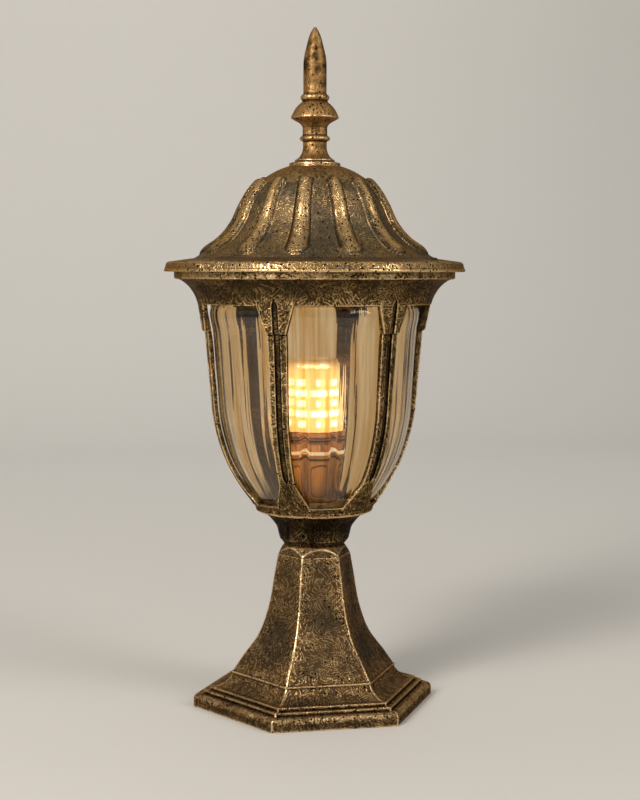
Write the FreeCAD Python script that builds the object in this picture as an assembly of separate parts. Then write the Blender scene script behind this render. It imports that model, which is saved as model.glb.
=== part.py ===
"""Pillar lamp: hexagonal pedestal, neck cup, ribbed lantern cage, gadrooned roof and spear finial.

Millimetres, +Z up, origin at the centre of the underside. A flat of the pedestal and a window of the
lantern face the front (-Y). A feature is modelled at the front and then turned about Z.
"""

import FreeCAD
import Part
import math
import os

V = FreeCAD.Vector
ORIGIN = V(0, 0, 0)
UP = V(0, 0, 1)

# Clearances
SLIP = 0.2            # sliding fit, on the radius
THREAD = 0.1          # screw in its threaded hole, on the radius
FREE = 0.5            # screw in a clearance hole, on the radius
REST = 0.3            # piece resting on a curved seat
PAST = 5.0            # how far a cutting tool runs past the wall

# Heights of the stacked castings
BASE_H = 119.5
CUP_H = 26.0
CAGE_H = 179.5
ROOF_H = 72.5
FINIAL_H = 101.0
ROOF_GASKET_T = 1.5

CUP_Z = BASE_H
FLOOR_Z = CUP_Z + CUP_H
COLLAR_TOP = FLOOR_Z + CAGE_H
BRIM_Z = COLLAR_TOP + ROOF_GASKET_T
ROOF_TOP = BRIM_Z + ROOF_H

# Hexagonal pedestal, widths from the axis to a flat
SIDES = 6
FOOT_FLAT = 79.2
FOOT_H = 9.6
FOOT_ROUND = 3.4
FOOT_TREAD = 6.5
STEP_H = 2.4
STEP_TREAD = 4.3
COVE_H = 9.6
COVE_RUN = 10.4
LISTEL_H = 1.5
LISTEL_OUT = 1.0
LISTEL_LAP = 0.7      # listel beyond the top of the cove
CORNER_CUT = 0.35
BASE_WALL = 3.6
WEB_DROP = 21.5       # web's underside below the top of the pedestal
WEB_T = 5.0
HEAD_FLAT = 23.3
NECK_STEP = 0.6       # crease where the shaft meets the head
HEAD_R = 22.5
HEAD_BEVEL = 7.0
HEAD_SLOPE = 0.71
SPIGOT_R = 19.8
SPIGOT_H = 13.5
# Shaft of the pedestal: share of its spread beyond the neck, share of its height
SHAFT = ((1.0, 0.0), (0.814, 0.108), (0.431, 0.313), (0.217, 0.540), (0.078, 0.832), (0.0, 1.0))

# Neck cup: radius, share of the cup's height
CUP_CURVE = ((25.7, 0.18), (26.6, 0.31), (28.0, 0.52), (31.0, 0.69), (35.6, 0.87), (41.2, 0.965))
CUP_FOOT_WALL = 1.9   # wall at the foot of the cone below the curve
CUP_CAVITY_STEP = 1.5
SET_SCREW_R = 2.4
SET_SCREW_L = 5.0
SET_SCREW_Z = 9.1
SET_SCREWS = 3
HEX_SOCKET_R = 1.4
HEX_SOCKET_DEPTH = 2.5

# Lantern cage
FLOOR_T = 4.0
FLOOR_R = 43.3
FLOOR_HOLE_R = 22.5
RING_H = 7.0
RIB_T = 3.2
RIB_W_TOP = 14.4
RIB_W_LOW = 11.8
RIB_BEND = 18.0       # height of the slanted lower corners of a window
CAP_W = 27.6
CAP_H = 20.0
CAP_PROUD = 2.0
CAP_SLOPE = 0.5       # height of the step under a rib cap
SPANDREL_W = 25.0
GROOVE_W = 4.6
GROOVE_DEPTH = 1.4
GROOVE_RISE = 5.5     # how far the groove's point runs above the window
GROOVE_POINT = 5.0
COLLAR_H = 26.4
COLLAR_R = 86.1
COLLAR_BORE = 81.5
LIP_GAP = 2.8         # lip to the inside of the roof's rim
LIP_H = 8.0
# Ribs: radius, share of the height from the ring to the rib caps
RIB_CURVE = ((47.3, 0.0), (53.0, 0.06), (66.0, 0.239), (74.4, 0.453), (78.0, 0.718), (81.1, 1.0))
# Cavetto under the lip: share of the way from the collar out to the lip, share of its height
CAVETTO = ((0.0, 0.0), (0.149, 0.37), (0.42, 0.73), (0.787, 0.98))

# Glass shade
GLASS_WALL = 3.0
GLASS_GAP_LOW = 0.5
GLASS_GAP_TOP = 2.1
GLASS_FOOT_R = 41.4
GLASS_RISE = 4.0      # glass rim above the top of the window, behind the collar
SHOULDER_R = 77.6
SHOULDER_H = 7.0
GLASS_MOUTH_R = 70.0
SEAT_T = 1.5
SEAT_W = 4.6
CLIPS = 3
CLIP_T = 1.0
CLIP_H = 12.0
CLIP_REACH = 9.0
CLIP_ANGLE = 9.0
CLIP_SCREW_R = 1.9
CLIP_SCREW_L = 6.0
CLIP_HEAD_R = 3.4
CLIP_HEAD_H = 2.0

# Roof
ROOF_WALL = 3.0
ROOF_PLATE = 4.5
RIM_R = 110.9
RIM_DROP = 4.3
RIM_TOP = 2.9
RIM_BEVEL = 1.3
RIM_BEAD = 1.4
RIM_WALL = 4.6
RIM_LEAN = 1.6
# Dome: radius, share of the roof's height
DOME = ((88.6, 0.077), (79.0, 0.160), (69.6, 0.250), (59.5, 0.415), (53.0, 0.600), (46.9, 0.741),
        (38.5, 0.866), (31.6, 0.931), (21.0, 0.996))
GADROONS = 13
GADROON_PHASE = -20.1
GADROON_TOP = 0.872   # share of the roof's height
GADROON_FOOT = 0.103
GADROON_W_TOP = 10.6
GADROON_W_FOOT = 19.0
GADROON_FLARE = 2.0   # power of the widening towards the foot
GADROON_RISE = 3.7
GADROON_SINK = 1.0
# Rounded ends of a gadroon: distance from the tip in half widths
GADROON_ENDS = (0.02, 0.25, 0.6, 1.1)
ROOF_SCREWS = 2
ROOF_SCREW_PLACE = 2.5  # gadroon spacings from the first gadroon
ROOF_SCREW_SHARE = 0.63  # place of the screws across the gasket
ROOF_SCREW_R = 2.4
ROOF_SCREW_BITE = 7.0
ROOF_HEAD_R = 4.6
ROOF_HEAD_H = 2.2
SPOT_DEPTH = 0.8
GASKET_IN = 84.0
GASKET_MARGIN = 2.0
BOSS_STEP = 0.5

# Finial: radius, height above its seat
FINIAL_DISC_R = 18.8
FINIAL_DISC_H = 2.4
FINIAL_STEP_R = 14.6
FINIAL_STEP_Z = 4.8
FINIAL_FLARE = ((14.2, 5.0), (11.1, 7.4), (9.4, 10.6), (8.7, 14.5))
FINIAL_RING = ((8.7, 18.2), (11.2, 20.4), (9.1, 22.6))
FINIAL_BELL_UNDER = ((9.0, 28.6), (10.8, 31.2), (14.9, 33.6), (17.5, 35.2))
FINIAL_BELL = ((17.5, 35.8), (15.9, 38.2), (13.1, 42.4), (9.5, 46.7))
FINIAL_BEAD = ((9.2, 47.8), (10.6, 50.2), (8.7, 52.6))
FINIAL_SHAFT_R = 8.5
SPEAR_H = 27.0
# Spear: radius, share of the spear's height
FINIAL_SPEAR = ((8.5, 0.0), (7.7, 0.26), (6.5, 0.44), (3.6, 0.81), (1.1, 0.985))
STUD_R = 3.9
STUD_BITE = 14.0
STUD_TAIL = 13.0
M8_NUT_FLATS = 13.0
M8_NUT_H = 6.5
M8_WASHER_R = 8.2
M8_WASHER_T = 1.6

# Lamp holder
PLATE_R = 32.0
PLATE_T = 1.5
CAGE_SCREWS = 3
CAGE_SCREW_RING = 27.0
CAGE_SCREW_R = 1.9
CAGE_SCREW_BITE = 7.0
CAGE_HEAD_R = 3.6
CAGE_HEAD_H = 2.4
HOLDER_R = 16.2
HOLDER_FLANGE_R = 19.5
HOLDER_FLANGE_T = 3.2
HOLDER_DEPTH = 33.0   # from the plate down to the holder's underside
HOLDER_FLOOR = 6.0
SHELL_R = 13.7
SHELL_T = 0.5
HOLDER_RING_W = 4.2
HOLDER_RING_H = 5.0
CONTACT_W = 7.0
CONTACT_T = 0.6
CONTACT_L = 18.0

# Screw-in lamp
BULB_LIFT = 0.8       # lamp housing above the holder's rim
CAP_L = 24.0
CAP_INSULATOR_H = 2.4
INSULATOR_RIM = 1.5
INSULATOR_STEP = 0.6
CAP_CONTACT_R = 4.8
CAP_CONTACT_H = 1.4
LOBES = 6
COVE_ANGLE = 9.0      # half the angle of a cove between two panels of the lamp
LOBE_DEPTH = 1.6
HOUSING_H = 29.7
HOUSING_R_LOW = 19.2
HOUSING_R_TOP = 22.0
FLANGE_R = 23.5
FLANGE_H = 4.0
SEAL_R = 22.4
SEAL_H = 0.7
BULB_RING_R = 22.3
BULB_RING_H = 15.9
COVER_R = 21.0
COVER_H = 53.5
COVER_WALL = 1.6
COVER_ROUND = 6.4
COLUMN_SIDES = 8
COLUMN_GAP = 1.4      # corners of the lit column to the inside of the cover
COLUMN_FLAT = (COVER_R - COVER_WALL - COLUMN_GAP) * math.cos(math.pi / COLUMN_SIDES)
COLUMN_H = 45.0
TOP_BOARD_FLAT = 14.4
TOP_BOARD_T = 1.6
CHIP_W = 4.4
CHIP_H = 4.0
CHIP_T = 0.9
CHIP_ROWS = 5
CHIP_PITCH = 7.6
CHIP_FIRST = 5.4
CHIP_PAIR = 2.6       # half the distance between the chips of a pair
TOP_CHIPS = 6
TOP_CHIP_RING = 9.0

# Fixing to the pillar and wiring
STRAP_GAP = 3.6       # strap's corners to the inside of the foot
STRAP_W = 30.0
STRAP_T = 5.0
SLOT_SPACING = 100.0
SLOT_R = 3.5
SLOT_L = 20.0
ROD_R = 3.9
ROD_TAIL = 1.0        # rod end above the strap's underside
ROD_STICKOUT = 3.4    # rod end above the top nut
BLOCK_L = 26.0
BLOCK_W = 9.0
BLOCK_H = 11.0
BLOCK_Y = 15.5
LEAD_R = 1.3
LEAD_X = 8.0
LEAD_Y = 7.0
LEAD_BEND = 3.0
LEAD_BITE = 3.5
GROMMET_R = 3.1
GROMMET_FLANGE_R = 3.8
GROMMET_FLANGE_T = 1.2
SMALL_SCREW_R = 1.45
SMALL_SCREW_BITE = 3.5
TERMINAL_HEAD_R = 3.0
TERMINAL_HEAD_H = 2.0
EARTH_Y = -14.0
EARTH_HEAD_R = 4.0
EARTH_HEAD_H = 2.6

# Levels and radii that follow from the sizes above
WEB_Z = BASE_H - WEB_DROP
WEB_TOP = WEB_Z + WEB_T
NECK_Z = BASE_H - HEAD_BEVEL
LIP_R = RIM_R - RIM_WALL - LIP_GAP
GASKET_OUT = LIP_R - GASKET_MARGIN
ROOF_SCREW_RING = GASKET_IN + ROOF_SCREW_SHARE * (GASKET_OUT - GASKET_IN)
CUP_BORE = SPIGOT_R + SLIP
CUP_CAVITY_R = CUP_BORE + CUP_CAVITY_STEP
CAP_R = SHELL_R - SHELL_T - SLIP
HOLDER_BORE = HOLDER_R + SLIP * 2
FLOOR_TOP = FLOOR_Z + FLOOR_T
PLATE_TOP = FLOOR_TOP + PLATE_T
HOLDER_Z = PLATE_TOP - HOLDER_DEPTH
HOLDER_WELL = HOLDER_Z + HOLDER_FLOOR
BULB_Z = PLATE_TOP + HOLDER_FLANGE_T + BULB_LIFT
FLANGE_Z = BULB_Z + HOUSING_H
SEAL_Z = FLANGE_Z + FLANGE_H
BULB_RING_Z = SEAL_Z + SEAL_H
COVER_Z = BULB_RING_Z + BULB_RING_H
WINDOW_TOP = COLLAR_TOP - COLLAR_H
WINDOW_LOW = FLOOR_Z + RING_H
CAP_Z = WINDOW_TOP - CAP_H
LIP_Z = COLLAR_TOP - LIP_H
BAY = 360 / SIDES
GADROON_STEP = 360 / GADROONS
FAR = 2 * RIM_R


def curve(points):
    """Smooth curve in the XZ plane through the points."""
    spline = Part.BSplineCurve()
    spline.interpolate([V(x, 0, z) for x, z in points])
    return spline


def outline(items):
    """Closed face in the XZ plane: points are joined by straight edges, a list of points is one curve."""
    edges = []
    corners = []
    for item in items:
        points = item if isinstance(item, list) else [item]
        start = V(points[0][0], 0, points[0][1])
        if corners and corners[-1].distanceToPoint(start) > 1e-6:
            edges.append(Part.makeLine(corners[-1], start))
        if len(points) > 1:
            edges.append(curve(points).toShape())
        corners += [start, V(points[-1][0], 0, points[-1][1])]
    if corners[-1].distanceToPoint(corners[0]) > 1e-6:
        edges.append(Part.makeLine(corners[-1], corners[0]))
    return Part.Face(Part.Wire(edges))


def turned(items, angle=360):
    """Solid of revolution about the vertical axis, as a lathe would turn it."""
    return outline(items).revolve(ORIGIN, UP, angle)


def spread(points, low, high):
    """Curve points given as shares of a height, placed between two levels."""
    return [(x, low + share * (high - low)) for x, share in points]


def inset(points, distances):
    """Points of an upward curve moved towards the axis along the curve's own normals."""
    spline = curve(points)
    moved = []
    for (x, z), distance in zip(points, distances):
        along = spline.tangent(spline.parameter(V(x, 0, z)))[0]
        moved.append((x - along.z * distance, z + along.x * distance))
    return moved


def around(shape, angle):
    """Copy of a front feature, turned about the vertical axis."""
    copy = shape.copy()
    copy.rotate(ORIGIN, UP, angle)
    return copy


def ring_of(shape, count, first):
    """Copies of a front feature, evenly spaced around the axis."""
    return [around(shape, first + 360 * index / count) for index in range(count)]


def cylinder(radius, low, high, x=0, y=0):
    return Part.makeCylinder(radius, high - low, V(x, y, low))


def tube(inner, outer, low, high):
    return cylinder(outer, low, high).cut(cylinder(inner, low - PAST, high + PAST))


def front_slab(items):
    """Outline and its mirror image across the front plane, pushed out to the front."""
    mirrored = [(-x, z) for x, z in reversed(items) if x > 0]
    return outline(list(items) + mirrored).extrude(V(0, -FAR, 0))


def crossed_slab(items, angle):
    """Profile and its mirror image across the axis, pushed through to both sides and turned."""
    mirrored = []
    for item in reversed(items):
        if isinstance(item, list):
            mirrored.append([(-x, z) for x, z in reversed(item)])
        else:
            mirrored.append((-item[0], item[1]))
    face = outline(items + mirrored)
    face.translate(V(0, -FAR, 0))
    return around(face.extrude(V(0, 2 * FAR, 0)), angle)


def hexagonal(items):
    """Six-sided form whose flats all have the given profile: crossed slabs, mitred where they meet."""
    solid = crossed_slab(items, 90)
    for turn in (1, 2):
        solid = solid.common(crossed_slab(items, 90 + BAY * turn))
    return solid


def corner_of(flat, sides=SIDES):
    """Distance from the axis to a corner, from the distance to a flat."""
    return flat / math.cos(math.pi / sides)


def to_corner(items, cut):
    """Profile along a flat, restated along a corner and drawn in by a small cut."""
    def place(point):
        return (corner_of(point[0]) - cut, point[1])

    return [[place(point) for point in item] if isinstance(item, list) else place(item) for item in items]


def polygon_prism(sides, flat, low, high):
    """Upright prism with one flat facing the front."""
    radius = corner_of(flat, sides)
    corners = []
    for index in range(sides + 1):
        angle = math.pi * (2 * index + 1) / sides - math.pi / 2
        corners.append(V(radius * math.cos(angle), radius * math.sin(angle), low))
    return Part.Face(Part.makePolygon(corners)).extrude(V(0, 0, high - low))


def lobed_wire(radius, z):
    """Closed outline of round panels with a hollow cove between each two."""
    edges = []
    cove = math.radians(COVE_ANGLE)
    half = math.pi / LOBES

    def place(angle, reach):
        return V(reach * math.cos(angle), reach * math.sin(angle), z)

    for index in range(LOBES):
        valley = 2 * half * index
        start = place(valley - cove, radius)
        middle = place(valley + cove, radius)
        end = place(valley + 2 * half - cove, radius)
        edges.append(Part.Arc(start, place(valley, radius - LOBE_DEPTH), middle).toShape())
        edges.append(Part.Arc(middle, place(valley + half, radius), end).toShape())
    return Part.Wire(edges)


def pan_screw(shank_r, shank_l, head_r, head_h):
    """Screw along +Z with the underside of its rounded head at the origin."""
    crown = [(head_r, head_h * 0.45), (head_r * 0.8, head_h * 0.9), (head_r * 0.5, head_h)]
    return turned([(0, -shank_l), (shank_r, -shank_l), (shank_r, 0), (head_r, 0), crown, (0, head_h)])


def neck_profile(low):
    """Concave shaft of the pedestal along a flat, from the given level up to the neck."""
    neck = HEAD_FLAT + NECK_STEP
    foot = FOOT_FLAT - FOOT_TREAD - 2 * STEP_TREAD - COVE_RUN + LISTEL_LAP - LISTEL_OUT
    return [(neck + out * (foot - neck), z) for out, z in spread(SHAFT, low, NECK_Z)]


def pedestal_steps():
    """Profile of the foot, steps, cove and listel along a flat, from the floor to the shaft."""
    step_low = FOOT_FLAT - FOOT_TREAD
    step_high = step_low - STEP_TREAD
    cove_foot = step_high - STEP_TREAD
    top = FOOT_H + 2 * STEP_H
    lean = FOOT_ROUND * (1 - math.sqrt(0.5))
    shoulder = [(FOOT_FLAT, FOOT_H - FOOT_ROUND), (FOOT_FLAT - lean, FOOT_H - lean),
                (FOOT_FLAT - FOOT_ROUND, FOOT_H)]
    sag = 0.35 * COVE_RUN
    cove = [(cove_foot, top), (cove_foot - 0.5 * COVE_RUN - 0.3 * sag, top + 0.5 * COVE_H - 0.3 * sag),
            (cove_foot - COVE_RUN, top + COVE_H)]
    return [(FOOT_FLAT, 0), shoulder, (step_low, FOOT_H), (step_low, FOOT_H + STEP_H),
            (step_high, FOOT_H + STEP_H), (step_high, top), cove]


def base_casting():
    steps = pedestal_steps()
    listel_z = steps[-1][-1][1]
    shaft = neck_profile(listel_z + LISTEL_H)
    listel_flat = shaft[0][0] + LISTEL_OUT
    outside = steps + [(listel_flat, listel_z), (listel_flat, listel_z + LISTEL_H), shaft,
                       (HEAD_FLAT, NECK_Z), (HEAD_FLAT, BASE_H)]
    solid = hexagonal(outside)
    for turn in range(3):
        solid = solid.common(crossed_slab(to_corner(outside, CORNER_CUT), BAY * turn))
    bevel_r = HEAD_R + HEAD_SLOPE * HEAD_BEVEL
    head = [(0, -PAST), (FAR, -PAST), (FAR, NECK_Z), (bevel_r, NECK_Z), (HEAD_R, BASE_H), (0, BASE_H)]
    solid = solid.common(turned(head))
    solid = solid.fuse(cylinder(SPIGOT_R, WEB_TOP, BASE_H + SPIGOT_H))

    foot_in = FOOT_FLAT - BASE_WALL
    step_in = FOOT_FLAT - FOOT_TREAD - BASE_WALL
    cove_in = step_in - STEP_TREAD
    roof_in = FOOT_H - BASE_WALL
    inside = [(foot_in, -PAST), (foot_in, roof_in), (step_in, roof_in), (step_in, roof_in + STEP_H),
              (cove_in, roof_in + STEP_H), [(x - BASE_WALL, z) for x, z in shaft]]
    hollow = hexagonal(inside).common(cylinder(FAR, -PAST, WEB_Z))
    solid = solid.cut(hollow)

    bores = [cylinder(HOLDER_BORE, WEB_TOP, BASE_H + SPIGOT_H + PAST),
             cylinder(ROD_R + FREE, WEB_Z - PAST, WEB_TOP + PAST),
             cylinder(SMALL_SCREW_R + THREAD, WEB_Z - PAST, WEB_Z + SMALL_SCREW_BITE, 0, BLOCK_Y),
             cylinder(SMALL_SCREW_R + THREAD, WEB_Z - PAST, WEB_Z + SMALL_SCREW_BITE, 0, EARTH_Y)]
    for side in (-1, 1):
        bores.append(cylinder(GROMMET_R + THREAD, WEB_Z - PAST, WEB_TOP + PAST, side * LEAD_X, LEAD_Y))
    return solid.cut(Part.makeCompound(bores)).removeSplitter()


def radial_cylinder(radius, inner, outer, z):
    """Cylinder at the front that runs straight out from the axis between two radii."""
    return Part.makeCylinder(radius, outer - inner, V(0, -inner, z), V(0, -1, 0))


def set_screw_height():
    return CUP_Z + SET_SCREW_Z


def neck_cup():
    outer = spread(CUP_CURVE, CUP_Z, FLOOR_Z)
    solid = turned([(CUP_BORE, CUP_Z), (CUP_BORE + CUP_FOOT_WALL, CUP_Z), outer, (outer[-1][0], FLOOR_Z),
                    (CUP_CAVITY_R, FLOOR_Z), (CUP_CAVITY_R, CUP_Z + SPIGOT_H), (CUP_BORE, CUP_Z + SPIGOT_H)])
    thread = radial_cylinder(SET_SCREW_R + THREAD, 0, FAR, set_screw_height())
    tapped = cylinder(CAGE_SCREW_R + THREAD, FLOOR_Z - CAGE_SCREW_BITE, FLOOR_Z + PAST, 0, -CAGE_SCREW_RING)
    holes = ring_of(thread, SET_SCREWS, -BAY / 2) + ring_of(tapped, CAGE_SCREWS, 0)
    return solid.cut(Part.makeCompound(holes))


def set_screws():
    """Cup-point grub screws that press on the spigot, each with a hexagon socket."""
    tip = SPIGOT_R + THREAD
    screw = radial_cylinder(SET_SCREW_R, tip, tip + SET_SCREW_L, set_screw_height())
    socket = polygon_prism(SIDES, HEX_SOCKET_R, 0, HEX_SOCKET_DEPTH)
    socket.rotate(ORIGIN, V(1, 0, 0), 90)
    socket.translate(V(0, HEX_SOCKET_DEPTH - tip - SET_SCREW_L, set_screw_height()))
    return Part.makeCompound(ring_of(screw.cut(socket), SET_SCREWS, -BAY / 2))


def rib_curve():
    return spread(RIB_CURVE, WINDOW_LOW, CAP_Z)


def rib_outline():
    """Half outline of a rib seen from the front, with its flared cap and lower spandrels."""
    return [(SPANDREL_W / 2, WINDOW_LOW - PAST), (SPANDREL_W / 2, WINDOW_LOW),
            (RIB_W_LOW / 2, WINDOW_LOW + RIB_BEND), (RIB_W_TOP / 2, CAP_Z), (CAP_W / 2, WINDOW_TOP),
            (CAP_W / 2, WINDOW_TOP + PAST)]


def lantern_cage():
    rib = rib_curve()
    rib_in = inset(rib, [RIB_T] * len(rib))
    cavetto = [(COLLAR_R + out * (LIP_R - COLLAR_R), z) for out, z in spread(CAVETTO, WINDOW_TOP, LIP_Z)]
    edge = 0.1 * LIP_H
    solid = turned([(FLOOR_HOLE_R, FLOOR_Z), (FLOOR_R, FLOOR_Z), (FLOOR_R + edge, FLOOR_Z + 0.45 * RING_H),
                    rib, (rib[-1][0] + CAP_PROUD, CAP_Z + CAP_SLOPE), cavetto,
                    (LIP_R - edge, LIP_Z), (LIP_R, LIP_Z + edge), (LIP_R, COLLAR_TOP),
                    (COLLAR_BORE, COLLAR_TOP), (COLLAR_BORE, WINDOW_TOP), rib_in[::-1],
                    (FLOOR_R, FLOOR_TOP), (FLOOR_HOLE_R, FLOOR_TOP)])
    ribs = ring_of(front_slab(rib_outline()), SIDES, BAY / 2)
    windows = tube(FLOOR_HOLE_R, FAR, WINDOW_LOW, WINDOW_TOP).cut(Part.makeCompound(ribs))
    solid = solid.cut(windows)

    groove_top = WINDOW_TOP + GROOVE_RISE
    groove_low = WINDOW_LOW + RIB_BEND
    floor = inset(rib, [GROOVE_DEPTH] * len(rib))
    band = turned([(FAR, floor[0][1]), floor, (COLLAR_R - GROOVE_DEPTH, groove_top), (FAR, groove_top)])
    groove = front_slab([(0, groove_low), (GROOVE_W / 2, groove_low + GROOVE_POINT),
                         (GROOVE_W / 2, groove_top - GROOVE_POINT), (0, groove_top)])
    solid = solid.cut(band.common(Part.makeCompound(ring_of(groove, SIDES, BAY / 2))))

    roof_tap = cylinder(ROOF_SCREW_R + THREAD, COLLAR_TOP - ROOF_SCREW_BITE, COLLAR_TOP + PAST, 0,
                        -ROOF_SCREW_RING)
    floor_hole = cylinder(CAGE_SCREW_R + FREE, FLOOR_Z - PAST, FLOOR_TOP + PAST, 0, -CAGE_SCREW_RING)
    clip_tap = radial_cylinder(CLIP_SCREW_R + THREAD, COLLAR_BORE - PAST, COLLAR_BORE + CLIP_SCREW_L,
                               clip_screw_height())
    holes = ring_of(roof_tap, ROOF_SCREWS, roof_screw_angle()) + ring_of(floor_hole, CAGE_SCREWS, 0)
    return solid.cut(Part.makeCompound(holes + ring_of(clip_tap, CLIPS, 0)))


def glass_curve():
    """Outside of the shade, from its foot up: inside the ribs, then round over the shoulder."""
    rib = rib_curve()
    shares = [share for _, share in RIB_CURVE]
    depths = [RIB_T + GLASS_GAP_LOW + share * (GLASS_GAP_TOP - GLASS_GAP_LOW) for share in shares]
    wall = inset(rib, depths)[1:]
    top = WINDOW_TOP + GLASS_RISE
    shoulder = [(SHOULDER_R, top - SHOULDER_H), (SHOULDER_R - 0.3 * SHOULDER_H, top - 0.3 * SHOULDER_H),
                (GLASS_MOUTH_R, top)]
    return [(GLASS_FOOT_R, FLOOR_TOP + SEAT_T)] + wall + shoulder


def glass_shade():
    outer = glass_curve()
    inner = inset(outer, [GLASS_WALL] * len(outer))
    inner[0] = (GLASS_FOOT_R - GLASS_WALL, outer[0][1])
    inner[-1] = (GLASS_MOUTH_R, outer[-1][1] - GLASS_WALL)
    return turned([outer, inner[::-1]])


def glass_seat_gasket():
    middle = GLASS_FOOT_R - GLASS_WALL / 2
    return tube(middle - SEAT_W / 2, middle + SEAT_W / 2, FLOOR_TOP, FLOOR_TOP + SEAT_T)


def clip_foot():
    """Underside of a clip's foot, just above the glass rim."""
    return glass_curve()[-1][1] + REST


def clip_screw_height():
    return clip_foot() + 0.65 * CLIP_H


def glass_clips():
    """Bent strips on the collar's bore that keep the glass down."""
    back = COLLAR_BORE - THREAD
    foot = clip_foot()
    strip = turned([(back, foot), (back, foot + CLIP_H), (back - CLIP_T, foot + CLIP_H),
                    (back - CLIP_T, foot + CLIP_T), (back - CLIP_REACH, foot + CLIP_T),
                    (back - CLIP_REACH, foot)], CLIP_ANGLE)
    front = around(strip, -90 - CLIP_ANGLE / 2)
    front = front.cut(radial_cylinder(CLIP_SCREW_R + SLIP, back - PAST, back + PAST, clip_screw_height()))
    return Part.makeCompound(ring_of(front, CLIPS, 0))


def clip_screws():
    seat = COLLAR_BORE - THREAD - CLIP_T
    screw = pan_screw(CLIP_SCREW_R, CLIP_SCREW_L, CLIP_HEAD_R, CLIP_HEAD_H)
    screw.rotate(ORIGIN, V(1, 0, 0), -90)
    screw.translate(V(0, REST - seat, clip_screw_height()))
    return Part.makeCompound(ring_of(screw, CLIPS, 0))


def dome_curve():
    return spread(DOME, BRIM_Z, ROOF_TOP)


def dome_parameter(spline, z):
    """Curve parameter of the dome at a height, found by halving."""
    low = spline.FirstParameter
    high = spline.LastParameter
    for _ in range(40):
        middle = (low + high) / 2
        if spline.value(middle).z < z:
            low = middle
        else:
            high = middle
    return low


def gadroon():
    """Raised finger on the dome's front: a loft of ellipses along the dome's curve with rounded ends."""
    spline = curve(dome_curve())
    start = dome_parameter(spline, BRIM_Z + GADROON_FOOT * ROOF_H)
    end = dome_parameter(spline, BRIM_Z + GADROON_TOP * ROOF_H)
    length = spline.length(start, end)
    foot_half = GADROON_W_FOOT / 2
    top_half = GADROON_W_TOP / 2
    stations = [(share * foot_half, share) for share in GADROON_ENDS]
    stations += [(length * share, 1.0) for share in (0.3, 0.45, 0.65)]
    stations += [(length - share * top_half, share) for share in reversed(GADROON_ENDS)]
    sections = []
    for distance, from_tip in stations:
        place = spline.parameterAtDistance(distance, start)
        point = spline.value(place)
        along = spline.tangent(place)[0]
        out = V(0, -along.z, -along.x)
        taper = math.sqrt(1 - (1 - min(from_tip, 1.0)) ** 2)
        flare = (1 - distance / length) ** GADROON_FLARE
        half = (top_half + (foot_half - top_half) * flare) * taper
        rise = (GADROON_RISE + GADROON_SINK) * taper
        centre = V(0, -point.x, point.z) - out * GADROON_SINK
        ellipse = Part.Ellipse(centre + V(half, 0, 0), centre + out * rise, centre)
        sections.append(Part.Wire(ellipse.toShape()))
    return Part.makeLoft(sections, True)


def roof_screw_angle():
    return GADROON_PHASE + ROOF_SCREW_PLACE * GADROON_STEP


def spot_level():
    """Flat seat of a roof screw's head on the sloping brim."""
    rim_in = RIM_R - RIM_LEAN - RIM_BEVEL
    foot_r, foot_z = dome_curve()[0]
    share = (ROOF_SCREW_RING - foot_r) / (rim_in - foot_r)
    return foot_z + share * (BRIM_Z + RIM_TOP - foot_z) - SPOT_DEPTH


def roof():
    dome = dome_curve()
    rim_low = BRIM_Z - RIM_DROP
    band_top = RIM_R - RIM_LEAN
    bead = [(RIM_R - 0.5 * RIM_BEAD, rim_low + 1.7 * RIM_BEAD), (RIM_R, rim_low + 0.9 * RIM_BEAD),
            (RIM_R - 0.4 * RIM_BEAD, rim_low)]
    rim = [(RIM_R - RIM_WALL, BRIM_Z), (RIM_R - RIM_WALL, rim_low), bead[::-1],
           (band_top, BRIM_Z + RIM_TOP - RIM_BEVEL), (band_top - RIM_BEVEL, BRIM_Z + RIM_TOP)]
    solid = turned([(0, BRIM_Z)] + rim + [dome, (0, dome[-1][1])])
    boss = cylinder(dome[-1][0] - BOSS_STEP, dome[-1][1] - PAST, ROOF_TOP)
    solid = solid.multiFuse(ring_of(gadroon(), GADROONS, GADROON_PHASE) + [boss])

    inner = inset(dome, [ROOF_WALL] * len(dome))[1:]
    mouth = COLLAR_BORE
    hollow = turned([(0, rim_low - PAST), (mouth, rim_low - PAST), (mouth, BRIM_Z), inner,
                     (inner[-1][0] - ROOF_WALL, ROOF_TOP - ROOF_PLATE), (0, ROOF_TOP - ROOF_PLATE)])
    stud_hole = cylinder(STUD_R + FREE, ROOF_TOP - ROOF_PLATE - PAST, ROOF_TOP + PAST)
    hole = cylinder(ROOF_SCREW_R + FREE, rim_low - PAST, ROOF_TOP, 0, -ROOF_SCREW_RING)
    spot = cylinder(ROOF_HEAD_R + FREE, spot_level(), ROOF_TOP, 0, -ROOF_SCREW_RING)
    holes = ring_of(hole.fuse(spot), ROOF_SCREWS, roof_screw_angle())
    return solid.cut(Part.makeCompound([hollow, stud_hole])).cut(Part.makeCompound(holes))


def roof_gasket():
    ring = tube(GASKET_IN, GASKET_OUT, COLLAR_TOP, BRIM_Z)
    hole = cylinder(ROOF_SCREW_R + FREE, COLLAR_TOP - PAST, BRIM_Z + PAST, 0, -ROOF_SCREW_RING)
    return ring.cut(Part.makeCompound(ring_of(hole, ROOF_SCREWS, roof_screw_angle())))


def roof_screws():
    shank = spot_level() - COLLAR_TOP + ROOF_SCREW_BITE - REST
    screw = pan_screw(ROOF_SCREW_R, shank, ROOF_HEAD_R, ROOF_HEAD_H)
    screw.translate(V(0, -ROOF_SCREW_RING, spot_level()))
    return Part.makeCompound(ring_of(screw, ROOF_SCREWS, roof_screw_angle()))


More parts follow.
